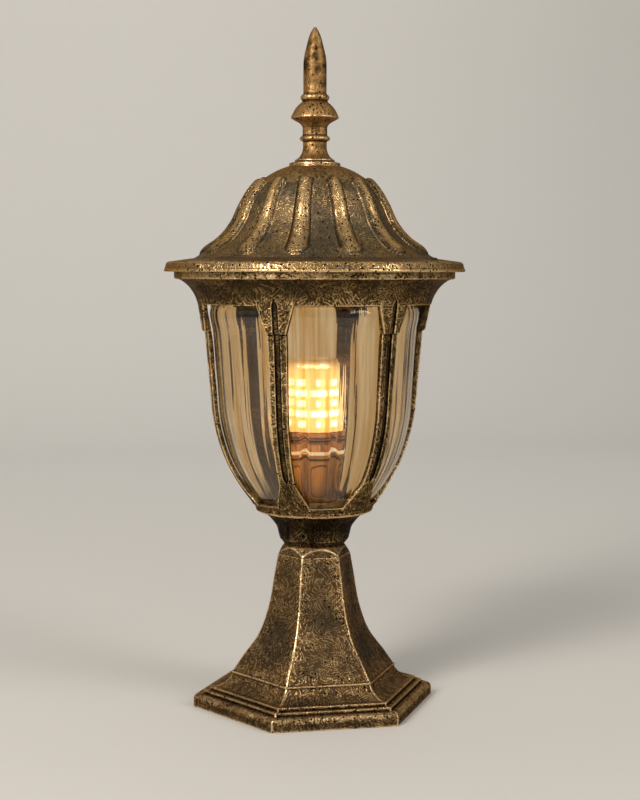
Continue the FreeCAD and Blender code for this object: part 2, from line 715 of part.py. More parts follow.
def finial():
    def lifted(points):
        return [(x, ROOF_TOP + z) for x, z in points]

    top = ROOF_TOP + FINIAL_H
    spear = spread(FINIAL_SPEAR, top - SPEAR_H, top)
    disc_top = ROOF_TOP + FINIAL_DISC_H
    step_top = ROOF_TOP + FINIAL_STEP_Z
    solid = turned([(0, ROOF_TOP), (FINIAL_DISC_R, ROOF_TOP), (FINIAL_DISC_R, disc_top),
                    (FINIAL_STEP_R, disc_top + 0.5 * (step_top - disc_top)), (FINIAL_STEP_R, step_top),
                    lifted(FINIAL_FLARE), lifted(FINIAL_RING), lifted(FINIAL_BELL_UNDER),
                    lifted(FINIAL_BELL), lifted(FINIAL_BEAD),
                    (FINIAL_SHAFT_R, lifted(FINIAL_BEAD)[-1][1]), spear, (0, top)])
    return solid.cut(cylinder(STUD_R + THREAD, ROOF_TOP - PAST, ROOF_TOP + STUD_BITE + FREE))


def finial_nut_level():
    return ROOF_TOP - ROOF_PLATE - M8_WASHER_T


def finial_stud():
    return cylinder(STUD_R, ROOF_TOP - STUD_TAIL - FREE, ROOF_TOP + STUD_BITE)


def finial_washer():
    return tube(STUD_R + SLIP, M8_WASHER_R, finial_nut_level(), ROOF_TOP - ROOF_PLATE)


def nut(low, thread_r):
    """Hexagon nut with both faces bevelled to the flats."""
    prism = polygon_prism(SIDES, M8_NUT_FLATS / 2, low, low + M8_NUT_H)
    flat = M8_NUT_FLATS / 2
    slope = 0.35 * (corner_of(flat) - flat)
    high = low + M8_NUT_H
    corner = corner_of(flat) + slope
    bevel = turned([(0, low), (flat, low), (corner, low + 2 * slope), (corner, high - 2 * slope),
                    (flat, high), (0, high)])
    return prism.common(bevel).cut(cylinder(thread_r + THREAD, low - PAST, high + PAST))


def finial_nut():
    return nut(finial_nut_level() - M8_NUT_H, STUD_R)


def holder_plate():
    plate = tube(HOLDER_BORE, PLATE_R, FLOOR_TOP, PLATE_TOP)
    hole = cylinder(CAGE_SCREW_R + FREE, FLOOR_TOP - PAST, PLATE_TOP + PAST, 0, -CAGE_SCREW_RING)
    return plate.cut(Part.makeCompound(ring_of(hole, CAGE_SCREWS, 0)))


def cage_screws():
    shank = PLATE_TOP - FLOOR_Z + CAGE_SCREW_BITE - REST
    screw = pan_screw(CAGE_SCREW_R, shank, CAGE_HEAD_R, CAGE_HEAD_H)
    screw.translate(V(0, -CAGE_SCREW_RING, PLATE_TOP))
    return Part.makeCompound(ring_of(screw, CAGE_SCREWS, 0))


def lampholder_body():
    rim = PLATE_TOP + HOLDER_FLANGE_T
    well_r = SHELL_R + THREAD
    solid = turned([(0, HOLDER_Z), (HOLDER_R, HOLDER_Z), (HOLDER_R, PLATE_TOP), (HOLDER_FLANGE_R, PLATE_TOP),
                    (HOLDER_FLANGE_R, rim), (well_r, rim), (well_r, HOLDER_WELL), (0, HOLDER_WELL)])
    for side in (-1, 1):
        hole = cylinder(LEAD_R + SLIP, HOLDER_Z - PAST, HOLDER_Z + LEAD_BITE + FREE, side * LEAD_X, LEAD_Y)
        solid = solid.cut(hole)
    return solid


def lampholder_shell():
    return tube(SHELL_R - SHELL_T, SHELL_R, HOLDER_WELL, PLATE_TOP + HOLDER_FLANGE_T - REST)


def cap_bottom():
    """Lowest point of the lamp's cap contact."""
    return BULB_Z - CAP_L - CAP_INSULATOR_H - CAP_CONTACT_H


def lampholder_contact():
    """Springy tongue on the floor of the well, raised in the middle to meet the lamp."""
    half = CONTACT_L / 2
    low = HOLDER_WELL
    crest = cap_bottom() - REST - CONTACT_T
    path = [(-half, low), (-half * 0.5, low), (-half * 0.15, crest), (half * 0.25, crest)]
    upper = [(x, z + CONTACT_T) for x, z in reversed(path)]
    strip = outline(path + upper)
    strip.translate(V(0, -CONTACT_W / 2, 0))
    return strip.extrude(V(0, CONTACT_W, 0))


def holder_ring():
    inner = HOLDER_R + THREAD
    return tube(inner, inner + HOLDER_RING_W, FLOOR_TOP - HOLDER_RING_H, FLOOR_TOP)


def bulb_screw_cap():
    return cylinder(CAP_R, BULB_Z - CAP_L, BULB_Z)


def bulb_cap_insulator():
    low = BULB_Z - CAP_L - CAP_INSULATOR_H
    return Part.makeCone(CAP_CONTACT_R + INSULATOR_RIM, CAP_R - INSULATOR_STEP, CAP_INSULATOR_H, V(0, 0, low))


def bulb_cap_contact():
    return cylinder(CAP_CONTACT_R, cap_bottom(), cap_bottom() + CAP_CONTACT_H)


def bulb_housing():
    """Tapered heat sink with coved panels and a round flange on top."""
    body = Part.makeLoft([lobed_wire(HOUSING_R_LOW, BULB_Z), lobed_wire(HOUSING_R_TOP, FLANGE_Z)], True, True)
    return body.fuse(cylinder(FLANGE_R, FLANGE_Z, SEAL_Z))


def bulb_seal():
    return cylinder(SEAL_R, SEAL_Z, BULB_RING_Z)


def bulb_ring():
    return Part.Face(lobed_wire(BULB_RING_R, BULB_RING_Z)).extrude(V(0, 0, BULB_RING_H))


def bulb_cover():
    top = COVER_Z + COVER_H

    def wall(radius, high, bend):
        lean = bend * (1 - math.sqrt(0.5))
        return [(radius, high - bend), (radius - lean, high - lean), (radius - bend, high)]

    outer = wall(COVER_R, top, COVER_ROUND)
    inner = wall(COVER_R - COVER_WALL, top - COVER_WALL, COVER_ROUND - COVER_WALL)
    return turned([(COVER_R - COVER_WALL, COVER_Z), (COVER_R, COVER_Z), outer, (0, top),
                   (0, top - COVER_WALL), inner[::-1]])


def led_column():
    column = polygon_prism(COLUMN_SIDES, COLUMN_FLAT, COVER_Z, COVER_Z + COLUMN_H)
    board_z = COVER_Z + COLUMN_H
    return column.fuse(polygon_prism(COLUMN_SIDES, TOP_BOARD_FLAT, board_z, board_z + TOP_BOARD_T))


def led_chips():
    """Single and paired chips in turn up each side of the column, and a ring of them on top."""
    front = []
    for row in range(CHIP_ROWS):
        z = COVER_Z + CHIP_FIRST + row * CHIP_PITCH
        offsets = (-CHIP_PAIR, CHIP_PAIR) if row % 2 else (0,)
        for offset in offsets:
            corner = V(offset - CHIP_W / 2, -COLUMN_FLAT - CHIP_T, z - CHIP_H / 2)
            front.append(Part.makeBox(CHIP_W, CHIP_T, CHIP_H, corner))
    chips = ring_of(Part.makeCompound(front), COLUMN_SIDES, 0)
    top = COVER_Z + COLUMN_H + TOP_BOARD_T
    flat_chip = Part.makeBox(CHIP_W, CHIP_H, CHIP_T, V(-CHIP_W / 2, -TOP_CHIP_RING - CHIP_H / 2, top))
    chips += ring_of(flat_chip, TOP_CHIPS, 0)
    return Part.makeCompound([solid for chip in chips for solid in chip.Solids])


def mounting_strap():
    half = corner_of(FOOT_FLAT - BASE_WALL) - STRAP_W / 2 * math.tan(math.pi / SIDES) - STRAP_GAP
    bar = Part.makeBox(2 * half, STRAP_W, STRAP_T, V(-half, -STRAP_W / 2, 0))
    reach = SLOT_L / 2 - SLOT_R
    holes = [cylinder(ROD_R + THREAD, -PAST, STRAP_T + PAST)]
    for side in (-1, 1):
        middle = side * SLOT_SPACING / 2
        straight = Part.makeBox(2 * reach, 2 * SLOT_R, STRAP_T + 2 * PAST, V(middle - reach, -SLOT_R, -PAST))
        ends = [cylinder(SLOT_R, -PAST, STRAP_T + PAST, middle + end * reach) for end in (-1, 1)]
        holes.append(straight.multiFuse(ends).removeSplitter())
    return bar.cut(Part.makeCompound(holes))


def tie_nut_level():
    return WEB_TOP + M8_WASHER_T


def tie_rod():
    return cylinder(ROD_R, ROD_TAIL, tie_nut_level() + M8_NUT_H + ROD_STICKOUT)


def strap_nut():
    return nut(STRAP_T, ROD_R)


def tie_washer():
    return tube(ROD_R + SLIP, M8_WASHER_R, WEB_TOP, tie_nut_level())


def tie_nut():
    return nut(tie_nut_level(), ROD_R)


def terminal_block():
    corner = V(-BLOCK_L / 2, BLOCK_Y - BLOCK_W / 2, WEB_Z - BLOCK_H)
    block = Part.makeBox(BLOCK_L, BLOCK_W, BLOCK_H, corner)
    return block.cut(cylinder(SMALL_SCREW_R + SLIP, WEB_Z - BLOCK_H - PAST, WEB_Z + PAST, 0, BLOCK_Y))


def small_screw(head_r, head_h, y, seat):
    """Screw from below into the web, with its head under the given seat."""
    screw = pan_screw(SMALL_SCREW_R, WEB_Z + SMALL_SCREW_BITE - REST - seat, head_r, head_h)
    screw.rotate(ORIGIN, V(1, 0, 0), 180)
    screw.translate(V(0, y, seat))
    return screw


def terminal_screw():
    return small_screw(TERMINAL_HEAD_R, TERMINAL_HEAD_H, BLOCK_Y, WEB_Z - BLOCK_H)


def earth_screw():
    return small_screw(EARTH_HEAD_R, EARTH_HEAD_H, EARTH_Y, WEB_Z)


def lead(side):
    """Wire out of the terminal block, round an upward bend and straight up into the lamp holder."""
    x = side * LEAD_X
    level = WEB_Z - BLOCK_H / 2
    start = V(x, BLOCK_Y - BLOCK_W / 2, level)
    bend_in = V(x, LEAD_Y + LEAD_BEND, level)
    bend_out = V(x, LEAD_Y, level + LEAD_BEND)
    reach = LEAD_BEND * math.sqrt(0.5)
    middle = V(x, LEAD_Y + LEAD_BEND - reach, level + LEAD_BEND - reach)
    end = V(x, LEAD_Y, HOLDER_Z + LEAD_BITE)
    path = Part.Wire([Part.makeLine(start, bend_in), Part.Arc(bend_in, middle, bend_out).toShape(),
                      Part.makeLine(bend_out, end)])
    section = Part.Wire(Part.makeCircle(LEAD_R, start, V(0, -1, 0)))
    return path.makePipeShell([section], True, True)


def lead_grommets():
    grommets = []
    for side in (-1, 1):
        x = side * LEAD_X
        solid = cylinder(GROMMET_R, WEB_Z - GROMMET_FLANGE_T, WEB_TOP, x, LEAD_Y)
        solid = solid.fuse(cylinder(GROMMET_FLANGE_R, WEB_Z - GROMMET_FLANGE_T, WEB_Z, x, LEAD_Y))
        grommets.append(solid.cut(cylinder(LEAD_R + SLIP, WEB_Z - PAST, WEB_TOP + PAST, x, LEAD_Y)))
    return Part.makeCompound(grommets)


NODES = {
    "base_casting": base_casting,
    "neck_cup": neck_cup,
    "set_screws": set_screws,
    "lantern_cage": lantern_cage,
    "glass_shade": glass_shade,
    "glass_seat_gasket": glass_seat_gasket,
    "glass_clips": glass_clips,
    "clip_screws": clip_screws,
    "roof": roof,
    "roof_gasket": roof_gasket,
    "roof_screws": roof_screws,
    "finial": finial,
    "finial_stud": finial_stud,
    "finial_washer": finial_washer,
    "finial_nut": finial_nut,
    "holder_plate": holder_plate,
    "cage_screws": cage_screws,
    "lampholder_body": lampholder_body,
    "lampholder_shell": lampholder_shell,
    "lampholder_contact": lampholder_contact,
    "holder_ring": holder_ring,
    "bulb_screw_cap": bulb_screw_cap,
    "bulb_cap_insulator": bulb_cap_insulator,
    "bulb_cap_contact": bulb_cap_contact,
    "bulb_housing": bulb_housing,
    "bulb_seal": bulb_seal,
    "bulb_ring": bulb_ring,
    "bulb_cover": bulb_cover,
    "led_column": led_column,
    "led_chips": led_chips,
    "mounting_strap": mounting_strap,
    "tie_rod": tie_rod,
    "strap_nut": strap_nut,
    "tie_washer": tie_washer,
    "tie_nut": tie_nut,
    "terminal_block": terminal_block,
    "terminal_screw": terminal_screw,
    "earth_screw": earth_screw,
    "live_lead": lambda: lead(-1),
    "neutral_lead": lambda: lead(1),
    "lead_grommets": lead_grommets,
}


def main():
    os.makedirs("parts", exist_ok=True)
    for name, build in NODES.items():
        build().exportStep(os.path.join("parts", name + ".step"))


main()
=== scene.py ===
"""Pillar lamp, dressed: bronze pedestal, cup, lantern cage, roof and finial, rippled glass and a lit lamp.

Lengths in the shape functions are millimetres, in the CAD's own frame: +Z up, origin at the centre of the
underside, a flat of the pedestal and a window of the lantern to the front (-Y). Angles are measured from the
front, towards +X.
"""

import math

import bmesh
import bpy
import numpy as np
from mathutils import Matrix


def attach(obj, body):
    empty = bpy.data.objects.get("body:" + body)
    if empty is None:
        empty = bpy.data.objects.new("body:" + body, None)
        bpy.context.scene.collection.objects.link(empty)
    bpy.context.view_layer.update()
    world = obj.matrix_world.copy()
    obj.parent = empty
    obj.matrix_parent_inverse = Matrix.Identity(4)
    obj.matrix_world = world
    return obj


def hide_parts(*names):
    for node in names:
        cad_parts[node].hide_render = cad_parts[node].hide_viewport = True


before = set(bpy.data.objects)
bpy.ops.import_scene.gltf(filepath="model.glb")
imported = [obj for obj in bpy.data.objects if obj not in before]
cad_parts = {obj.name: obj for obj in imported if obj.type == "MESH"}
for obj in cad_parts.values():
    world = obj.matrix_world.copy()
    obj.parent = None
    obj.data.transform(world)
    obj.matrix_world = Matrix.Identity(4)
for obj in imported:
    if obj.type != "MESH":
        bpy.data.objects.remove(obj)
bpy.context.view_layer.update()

bl_info = {
    "name": "Pillar lamp",
    "version": (1, 0, 0),
    "blender": (4, 5, 0),
    "location": "View3D > Sidebar > Pillar lamp",
    "description": "Dresses the solids of a pillar lamp with shaped castings, rippled glass and a lit lamp",
    "category": "Add Mesh",
}

MM = 0.001
BAY = math.radians(60)
RIB_ANGLES = BAY / 2 + BAY * np.arange(6)

# Levels of the stacked pieces
WEB_LOW = 98.0
WEB_TOP = 103.0
NECK_Z = 112.5
CUP_Z = 119.5
SPIGOT_TOP = 133.0
FLOOR_Z = 145.5
WINDOW_LOW = 152.5
GROOVE_LOW = 170.5
CAP_Z = 278.6
WINDOW_TOP = 298.6
LIP_Z = 317.0
COLLAR_TOP = 325.0
BRIM_Z = 326.5
RIM_EDGE = 328.6
ROOF_TOP = 399.0
LAMP_Z = 155.0
FLANGE_Z = 184.7
RING_Z = 189.4
COVER_Z = 205.3
COVER_TOP = 258.8

# Curves: radius or width to a flat, then height
SHAFT = [(53.4, 25.5), (47.9, 34.9), (36.6, 52.7), (30.3, 72.5), (26.2, 97.9), (23.9, NECK_Z)]
CUP_CURVE = [(25.7, 124.2), (26.6, 127.6), (28.0, 133.0), (31.0, 137.4), (35.6, 142.1), (41.2, 144.6)]
RIB_CURVE = [(47.3, WINDOW_LOW), (53.0, 160.1), (66.0, 182.6), (74.4, 209.6), (78.0, 243.0), (81.1, CAP_Z)]
CAVETTO = [(86.1, WINDOW_TOP), (88.7, 305.4), (93.4, 312.0), (99.8, 316.6)]
DOME = [(88.6, 332.1), (79.0, 338.1), (69.6, 344.6), (59.5, 356.6), (53.0, 370.0), (46.9, 380.2),
        (38.5, 389.3), (31.6, 394.0), (21.0, 398.7)]
GADROONS = 13
GADROON_FIRST = math.radians(-20.1)


def linear(text):
    """sRGB hex to the linear colour that shaders take."""
    share = np.array([int(text[i:i + 2], 16) for i in (1, 3, 5)]) / 255
    rgb = np.where(share <= 0.04045, share / 12.92, ((share + 0.055) / 1.055) ** 2.4)
    return (*rgb.tolist(), 1.0)


def lengths(points):
    """Length along a line, at each of its points."""
    return np.concatenate(([0], np.cumsum(np.linalg.norm(np.diff(points, axis=0), axis=1))))


def slopes(points):
    """Knots by chord length and the slope at each point, from its neighbours."""
    knots = lengths(points)
    return knots, np.gradient(points, knots, axis=0, edge_order=2)


def smooth(points, step):
    """Cubic Hermite curve through the points, sampled about every step."""
    points = np.array(points, float)
    knots, slope = slopes(points)
    at = np.linspace(0, knots[-1], max(int(knots[-1] / step), 2 * len(points)) + 1)
    i = np.clip(np.searchsorted(knots, at, side="right") - 1, 0, len(knots) - 2)
    span = (knots[i + 1] - knots[i])[:, None]
    s = (at - knots[i])[:, None] / span
    near = (1 + 2 * s) * (1 - s) ** 2 * points[i] + s * (1 - s) ** 2 * span * slope[i]
    far = s * s * (3 - 2 * s) * points[i + 1] + s * s * (s - 1) * span * slope[i + 1]
    return near + far


def inset(points, depth):
    """Points of an upward curve moved towards the axis along the curve's normals."""
    points = np.array(points, float)
    slope = slopes(points)[1]
    slope /= np.linalg.norm(slope, axis=1)[:, None]
    return points + np.stack((-slope[:, 1], slope[:, 0]), 1) * np.reshape(depth, (-1, 1))


class Section:
    """Cross-section worked out from points and curves, with its edges eased and its marks known.

    Straight runs join the items, a list of points is a smooth curve, an array is taken as it is. A corner
    becomes a quadratic arc that starts edge before it and ends edge after it, with a point more on each side.
    Marks are three sums over the turns, each turn times exp(-distance / reach): worn edge (outward turns, a
    reach of 0.5 mm), rubbed zone (outward turns, 4 mm) and painted shade in the creases (inward turns, 0.5
    mm).
    """

    def __init__(self, items, edge, step=1.3):
        runs = [smooth(item, step) if isinstance(item, list) else np.atleast_2d(item) for item in items]
        line = np.concatenate(runs)
        line = line[np.concatenate(([True], np.diff(lengths(line)) > 1e-4))]
        line = self.divide(self.ease(line, edge), step)
        turn = self.turns(line)
        self.along = lengths(line)
        apart = np.abs(self.along[:, None] - self.along)
        out, back = np.maximum(turn, 0), np.maximum(-turn, 0)
        close, wide = np.exp(-apart / 0.5), np.exp(-apart / 4.0)
        self.marks = np.clip(np.stack((1.4 * close @ out, 0.65 * wide @ out, close @ back), -1), 0, 1)
        self.x, self.z = line.T
        way = np.gradient(line, axis=0)
        way /= np.linalg.norm(way, axis=1)[:, None]
        self.normal = np.stack((way[:, 1], -way[:, 0]), 1)

    @staticmethod
    def turns(line):
        """Turn at each point in radians, positive to the left, zero at the ends."""
        heading = np.unwrap(np.arctan2(*np.diff(line, axis=0).T[::-1]))
        return np.concatenate(([0], np.diff(heading), [0]))

    @classmethod
    def ease(cls, line, edge):
        """Line with an arc in place of each corner of more than 14 degrees."""
        corner = np.abs(cls.turns(line)) > math.radians(14)
        leg = np.diff(line, axis=0)
        length = np.linalg.norm(leg, axis=1)[:, None]
        near, far = (np.pad(leg / length * np.minimum(back, part * length), ((1, 1), (0, 0)))
                     for back, part in ((edge, 0.45), (edge + 0.6, 0.49)))
        before, after = line - near[:-1], line + near[1:]
        s = np.linspace(0, 1, 4)[:, None]
        arcs = (1 - s) ** 2 * before[:, None] + 2 * s * (1 - s) * line[:, None] + s * s * after[:, None]
        arcs = np.concatenate(((line - far[:-1])[:, None], arcs, (line + far[1:])[:, None]), 1)
        keep = np.repeat(corner[:, None], 6, 1)
        keep[:, 0] = True
        arcs[~corner, 0] = line[~corner]
        return arcs[keep]

    @staticmethod
    def divide(line, step):
        """Line with each leg divided evenly, so that no leg is much longer than step."""
        leg = np.diff(line, axis=0)
        count = np.maximum(np.ceil(np.linalg.norm(leg, axis=1) / step - 0.25).astype(int), 1)
        i = np.repeat(np.arange(len(leg)), count)
        share = (np.arange(len(i)) - np.repeat(np.cumsum(count) - count, count)) / count[i]
        return np.vstack((line[i] + leg[i] * share[:, None], line[-1:]))


def turn_points(radius, angle, z):
    """Points at a radius and an angle from the front."""
    radius, angle, z = np.broadcast_arrays(radius, angle, z)
    return np.stack((radius * np.sin(angle), -radius * np.cos(angle), z), -1)


def around(columns, first=0.0):
    """Evenly spaced angles, one to a row."""
    return first + np.arange(columns)[:, None] * 2 * math.pi / columns


def from_nearest(angle, centres):
    """Signed angle of each row from the nearest of the centres."""
    apart = (angle - centres + math.pi) % (2 * math.pi) - math.pi
    return np.take_along_axis(apart, np.abs(apart).argmin(1)[:, None], 1)


def gathered(centres, reach, close, apart):
    """Angles close together within reach of each centre and wide apart between centres, one to a row."""
    near = np.linspace(-reach, reach, close)
    far = np.linspace(reach, 2 * math.pi / len(centres) - reach, apart)[1:-1]
    return (centres[:, None] + np.concatenate((near, far))).reshape(-1, 1)


def step_up(value, low, high):
    """Smooth step from 0 at low to 1 at high."""
    share = np.clip((value - low) / (high - low), 0, 1)
    return share * share * (3 - 2 * share)


def quads(index):
    """Faces of a grid of point numbers."""
    return np.stack((index[:-1, :-1], index[1:, :-1], index[1:, 1:], index[:-1, 1:]), -1).reshape(-1, 4)


def placed(name, data):
    """New object in the scene."""
    thing = bpy.data.objects.new(name, data)
    bpy.context.collection.objects.link(thing)
    return thing


def piece(name, grids, material, slot, *nodes, sharp=38):
    """One closed object from grids of points, each with its marks, that stands for the CAD nodes.

    A grid runs round first and along its section second, so a section that climbs on the outside faces
    outwards. Rows that meet in a point or in a seam are welded.
    """
    corners, faces, marks = [], [], []
    start = 0
    for points, mark in grids:
        index = start + np.arange(points[..., 0].size).reshape(points.shape[:2])
        index = np.vstack((index, index[:1]))
        faces.append(quads(index))
        corners.append(points.reshape(-1, 3) * MM)
        marks.append(np.broadcast_to(mark, points.shape).ravel())
        start += index.size - index.shape[1]
    mesh = bpy.data.meshes.new(name)
    mesh.from_pydata(np.concatenate(corners), [], np.concatenate(faces).tolist())
    mesh.attributes.new("marks", "FLOAT_VECTOR", "POINT").data.foreach_set("vector", np.concatenate(marks))
    weld = bmesh.new()
    weld.from_mesh(mesh)
    bmesh.ops.remove_doubles(weld, verts=weld.verts, dist=2e-6)
    weld.to_mesh(mesh)
    weld.free()
    mesh.shade_smooth()
    mesh.set_sharp_from_angle(angle=math.radians(sharp))
    mesh.materials.append(material)
    thing = placed(name, mesh)
    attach(thing, "root")
    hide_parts(*nodes)


def turned(section, columns=144):
    """Section carried round the axis."""
    return turn_points(section.x, around(columns), section.z), section.marks


def marked(edge=0.0, rubbed=0.0, crease_shade=0.0):
    """Marks of a grid from three arrays or numbers, held between 0 and 1."""
    return np.clip(np.stack(np.broadcast_arrays(edge, rubbed, crease_shade), -1), 0, 1)


# Materials


def add(tree, kind, links=None, out=None, **settings):
    """New node with its settings, its sockets set or joined; gives the named output, or the node."""
    node = tree.nodes.new("ShaderNode" + kind)
    for key, value in settings.items():
        setattr(node, key, value)
    for key, value in (links or {}).items():
        if isinstance(value, bpy.types.NodeSocket):
            tree.links.new(value, node.inputs[key])
        else:
            node.inputs[key].default_value = value
    return node if out is None else node.outputs[out]


def blank_material(name):
    """New material, its empty tree and the place on the piece."""
    material = bpy.data.materials.new(name)
    material.use_nodes = True
    material.node_tree.nodes.clear()
    return material, material.node_tree, add(material.node_tree, "TexCoord", out="Object")


def finished(material, **values):
    """Material with one Principled shader; underscores in the names of its sockets stand for spaces."""
    sockets = {key.replace("_", " "): value for key, value in values.items()}
    shader = add(material.node_tree, "BsdfPrincipled", sockets, 0)
    add(material.node_tree, "OutputMaterial", {"Surface": shader})
    return material


def streaked(tree, place, count, climb):
    """Place where noise of scale 1 makes streaks up a piece: count to a radian, shifted by climb per mm."""
    flat = add(tree, "VectorMath", {0: place, 1: (1.0, 1.0, 0.0)}, 0, operation="MULTIPLY")
    outward = add(tree, "VectorMath", {0: flat}, 0, operation="NORMALIZE")
    height = add(tree, "SeparateXYZ", {0: place}, "Z")
    lean = add(tree, "VectorMath", {0: np.divide(climb, MM), "Scale": height}, 0, operation="SCALE")
    return add(tree, "VectorMath", {0: outward, 1: (count,) * 3, 2: lean}, 0, operation="MULTIPLY_ADD")


def hatching(tree, place, size, pitch, shift):
    """Stripes a pitch apart, in patches of a size that each have a heading of their own, in millimetres."""
    away = np.multiply((1.0, -0.7, 1.3), shift * MM)
    moved = add(tree, "VectorMath", {0: place, 1: away}, 0, operation="ADD")
    patch = add(tree, "TexVoronoi", {"Vector": moved, "Scale": 1 / (size * MM)}, "Color")
    heading = add(tree, "VectorMath", {0: patch, 1: (0.5, 0.5, 0.5)}, 0, operation="SUBTRACT")
    heading = add(tree, "VectorMath", {0: heading}, 0, operation="NORMALIZE")
    across = add(tree, "VectorMath", {0: place, 1: heading}, "Value", operation="DOT_PRODUCT")
    phase = add(tree, "Math", {0: across, 1: 2 * math.pi / (pitch * MM)}, 0, operation="MULTIPLY")
    wave = add(tree, "Math", {0: phase}, 0, operation="SINE")
    return add(tree, "MapRange", {"Value": wave, "From Min": 0.66, "From Max": 0.95}, 0)


def bronze_paint(name, amount=1.0, warmth=0.0, cloud=26.0, **other):
    """Die-cast aluminium, sprayed dark, then brushed and rubbed by hand with gold wax.

    The eye sees an olive brown ground, gold hairlines hatched in patches about 10 mm across, an amber tone
    with more hairlines near the edges and in clouds, thin worn gold on the edges themselves and black specks.
    The marked creases are darkened to near black: painted shade, over the dark paint that the hollows keep.
    The hairlines are drawn 0.5 mm wide, coarser than real ones, to let them show. The colours are the lamp's
    own, apart from those that are given.
    """
    ground, tone, stroke, gold = (linear(other[key]) if key in other else tuple(getattr(colours(), key))
                                  for key in ("ground", "tone", "stroke", "gold"))
    material, tree, place = blank_material(name)
    marks = add(tree, "Attribute", out="Vector", attribute_name="marks")
    edge, rubbed, crease_shade = add(tree, "SeparateXYZ", {0: marks}).outputs
    broad, middle, fine = (
        add(tree, "TexNoise", {"Vector": place, "Scale": 1 / (size * MM), "Detail": 2.0}, "Fac")
        for size in (cloud, 7.0, 1.6))
    # Dashes, 1.7 mm wide at 100 mm from the axis, that lean up the piece where a brush crossed the edges
    rays = streaked(tree, place, 100 / 1.7, (0.25, 0.25, 0.15))
    dash = add(tree, "TexNoise", {"Vector": rays, "Scale": 1.0, "Detail": 1.0}, "Fac")
    dash = add(tree, "MapRange", {"Value": dash, "From Min": 0.43, "From Max": 0.55, "To Max": 1.2}, 0)
    # Zones that took more wax: near edges, and in clouds
    dashed = add(tree, "Math", {0: rubbed, 1: dash}, 0, operation="MULTIPLY")
    zone = add(tree, "Math", {0: broad, 1: 1.3, 2: dashed}, 0, operation="MULTIPLY_ADD")
    zone = add(tree, "MapRange", {"Value": zone, "From Min": 0.6 - warmth, "From Max": 1.25 - warmth}, 0)
    # Hairlines: three layers of hatching on slightly bent coordinates, broken along their length
    bend = add(tree, "TexNoise", {"Vector": place, "Scale": 1 / (9 * MM), "Detail": 0.0}, "Color")
    bend = add(tree, "VectorMath", {0: bend, 1: (0.5, 0.5, 0.5)}, 0, operation="SUBTRACT")
    bent = add(tree, "VectorMath", {0: bend, 1: (3.2 * MM,) * 3, 2: place}, 0, operation="MULTIPLY_ADD")
    gap = add(tree, "TexNoise", {"Vector": place, "Scale": 1 / (3.4 * MM), "Detail": 1.0}, "Color")
    gaps = add(tree, "SeparateXYZ", {0: gap}).outputs
    strokes = 0.0
    for (size, pitch, shift), value in zip(((10.0, 1.8, 0.0), (7.5, 1.5, 31.0), (13.0, 2.2, 67.0)), gaps):
        kept = add(tree, "MapRange", {"Value": value, "From Min": 0.47, "From Max": 0.56}, 0)
        lines = hatching(tree, bent, size, pitch, shift)
        lines = add(tree, "Math", {0: lines, 1: kept}, 0, operation="MULTIPLY")
        strokes = add(tree, "Math", {0: lines, 1: strokes}, 0, operation="MAXIMUM")
    dense = add(tree, "MapRange", {"Value": zone, "To Min": 0.14 * amount, "To Max": amount}, 0)
    strokes = add(tree, "Math", {0: strokes, 1: dense}, 0, operation="MULTIPLY", use_clamp=True)
    # Worn gold edges, uneven along their length; on the roof this mark also holds painted highlights
    uneven = edge
    for noise, share in ((broad, 1.0), (middle, 0.9), (fine, 1.1)):
        uneven = add(tree, "Math", {0: noise, 1: share, 2: uneven}, 0, operation="MULTIPLY_ADD")
    bare_and_highlight = add(tree, "MapRange", {"Value": uneven, "From Min": 1.95, "From Max": 2.6}, 0)
    # Specks: blots about 1.2 mm across, more of them where the wax is
    blots = add(tree, "VectorMath", {0: bend, 1: (2.0 * MM,) * 3, 2: place}, 0, operation="MULTIPLY_ADD")
    cell = add(tree, "TexVoronoi", {"Vector": blots, "Scale": 1 / (2.8 * MM)})
    dot = add(tree, "Math", {0: fine, 1: 0.3, 2: cell.outputs["Distance"]}, 0, operation="MULTIPLY_ADD")
    dot = add(tree, "MapRange", {"Value": dot, "From Min": 0.48, "From Max": 0.36}, 0)
    chance = add(tree, "SeparateXYZ", {0: cell.outputs["Color"]}, "X")
    chance = add(tree, "Math", {0: rubbed, 1: 0.45, 2: chance}, 0, operation="MULTIPLY_ADD")
    chosen = add(tree, "Math", {0: chance, 1: 0.78}, 0, operation="GREATER_THAN")
    specks = add(tree, "Math", {0: dot, 1: chosen}, 0, operation="MULTIPLY")
    base = ground
    for share, colour in ((zone, tone), (strokes, stroke), (bare_and_highlight, gold), (specks, linear("#120c06"))):
        base = add(tree, "Mix", {0: share, 6: base, 7: colour}, 2, data_type="RGBA")
    # Painted shade: the marked creases and flanks darken the colour to a tenth, less where an edge is worn
    deep = add(tree, "Math", {0: edge, 1: -0.7, 2: crease_shade}, 0, operation="MULTIPLY_ADD")
    left = add(tree, "MapRange", {"Value": deep, "From Min": 0.7, "From Max": 0.1, "To Min": 0.1}, 0)
    base = add(tree, "VectorMath", {0: base, 1: left}, 0, operation="MULTIPLY")
    gilt = add(tree, "Math", {0: strokes, 1: bare_and_highlight}, 0, operation="MAXIMUM")
    metal = add(tree, "MapRange", {"Value": gilt, "To Min": 0.75, "To Max": 1.0}, 0)
    rough = add(tree, "MapRange", {"Value": gilt, "To Min": 0.48, "To Max": 0.22}, 0)
    height = add(tree, "Math", {0: fine, 1: 0.35, 2: strokes}, 0, operation="MULTIPLY_ADD")
    height = add(tree, "Math", {0: height, 1: specks}, 0, operation="SUBTRACT")
    bump = add(tree, "Bump", {"Height": height, "Strength": 0.4, "Distance": 0.4 * MM}, 0)
    return finished(material, Base_Color=base, Metallic=metal, Roughness=rough, Normal=bump,
                    Specular_IOR_Level=0.2, Specular_Tint=linear("#8a7350"))


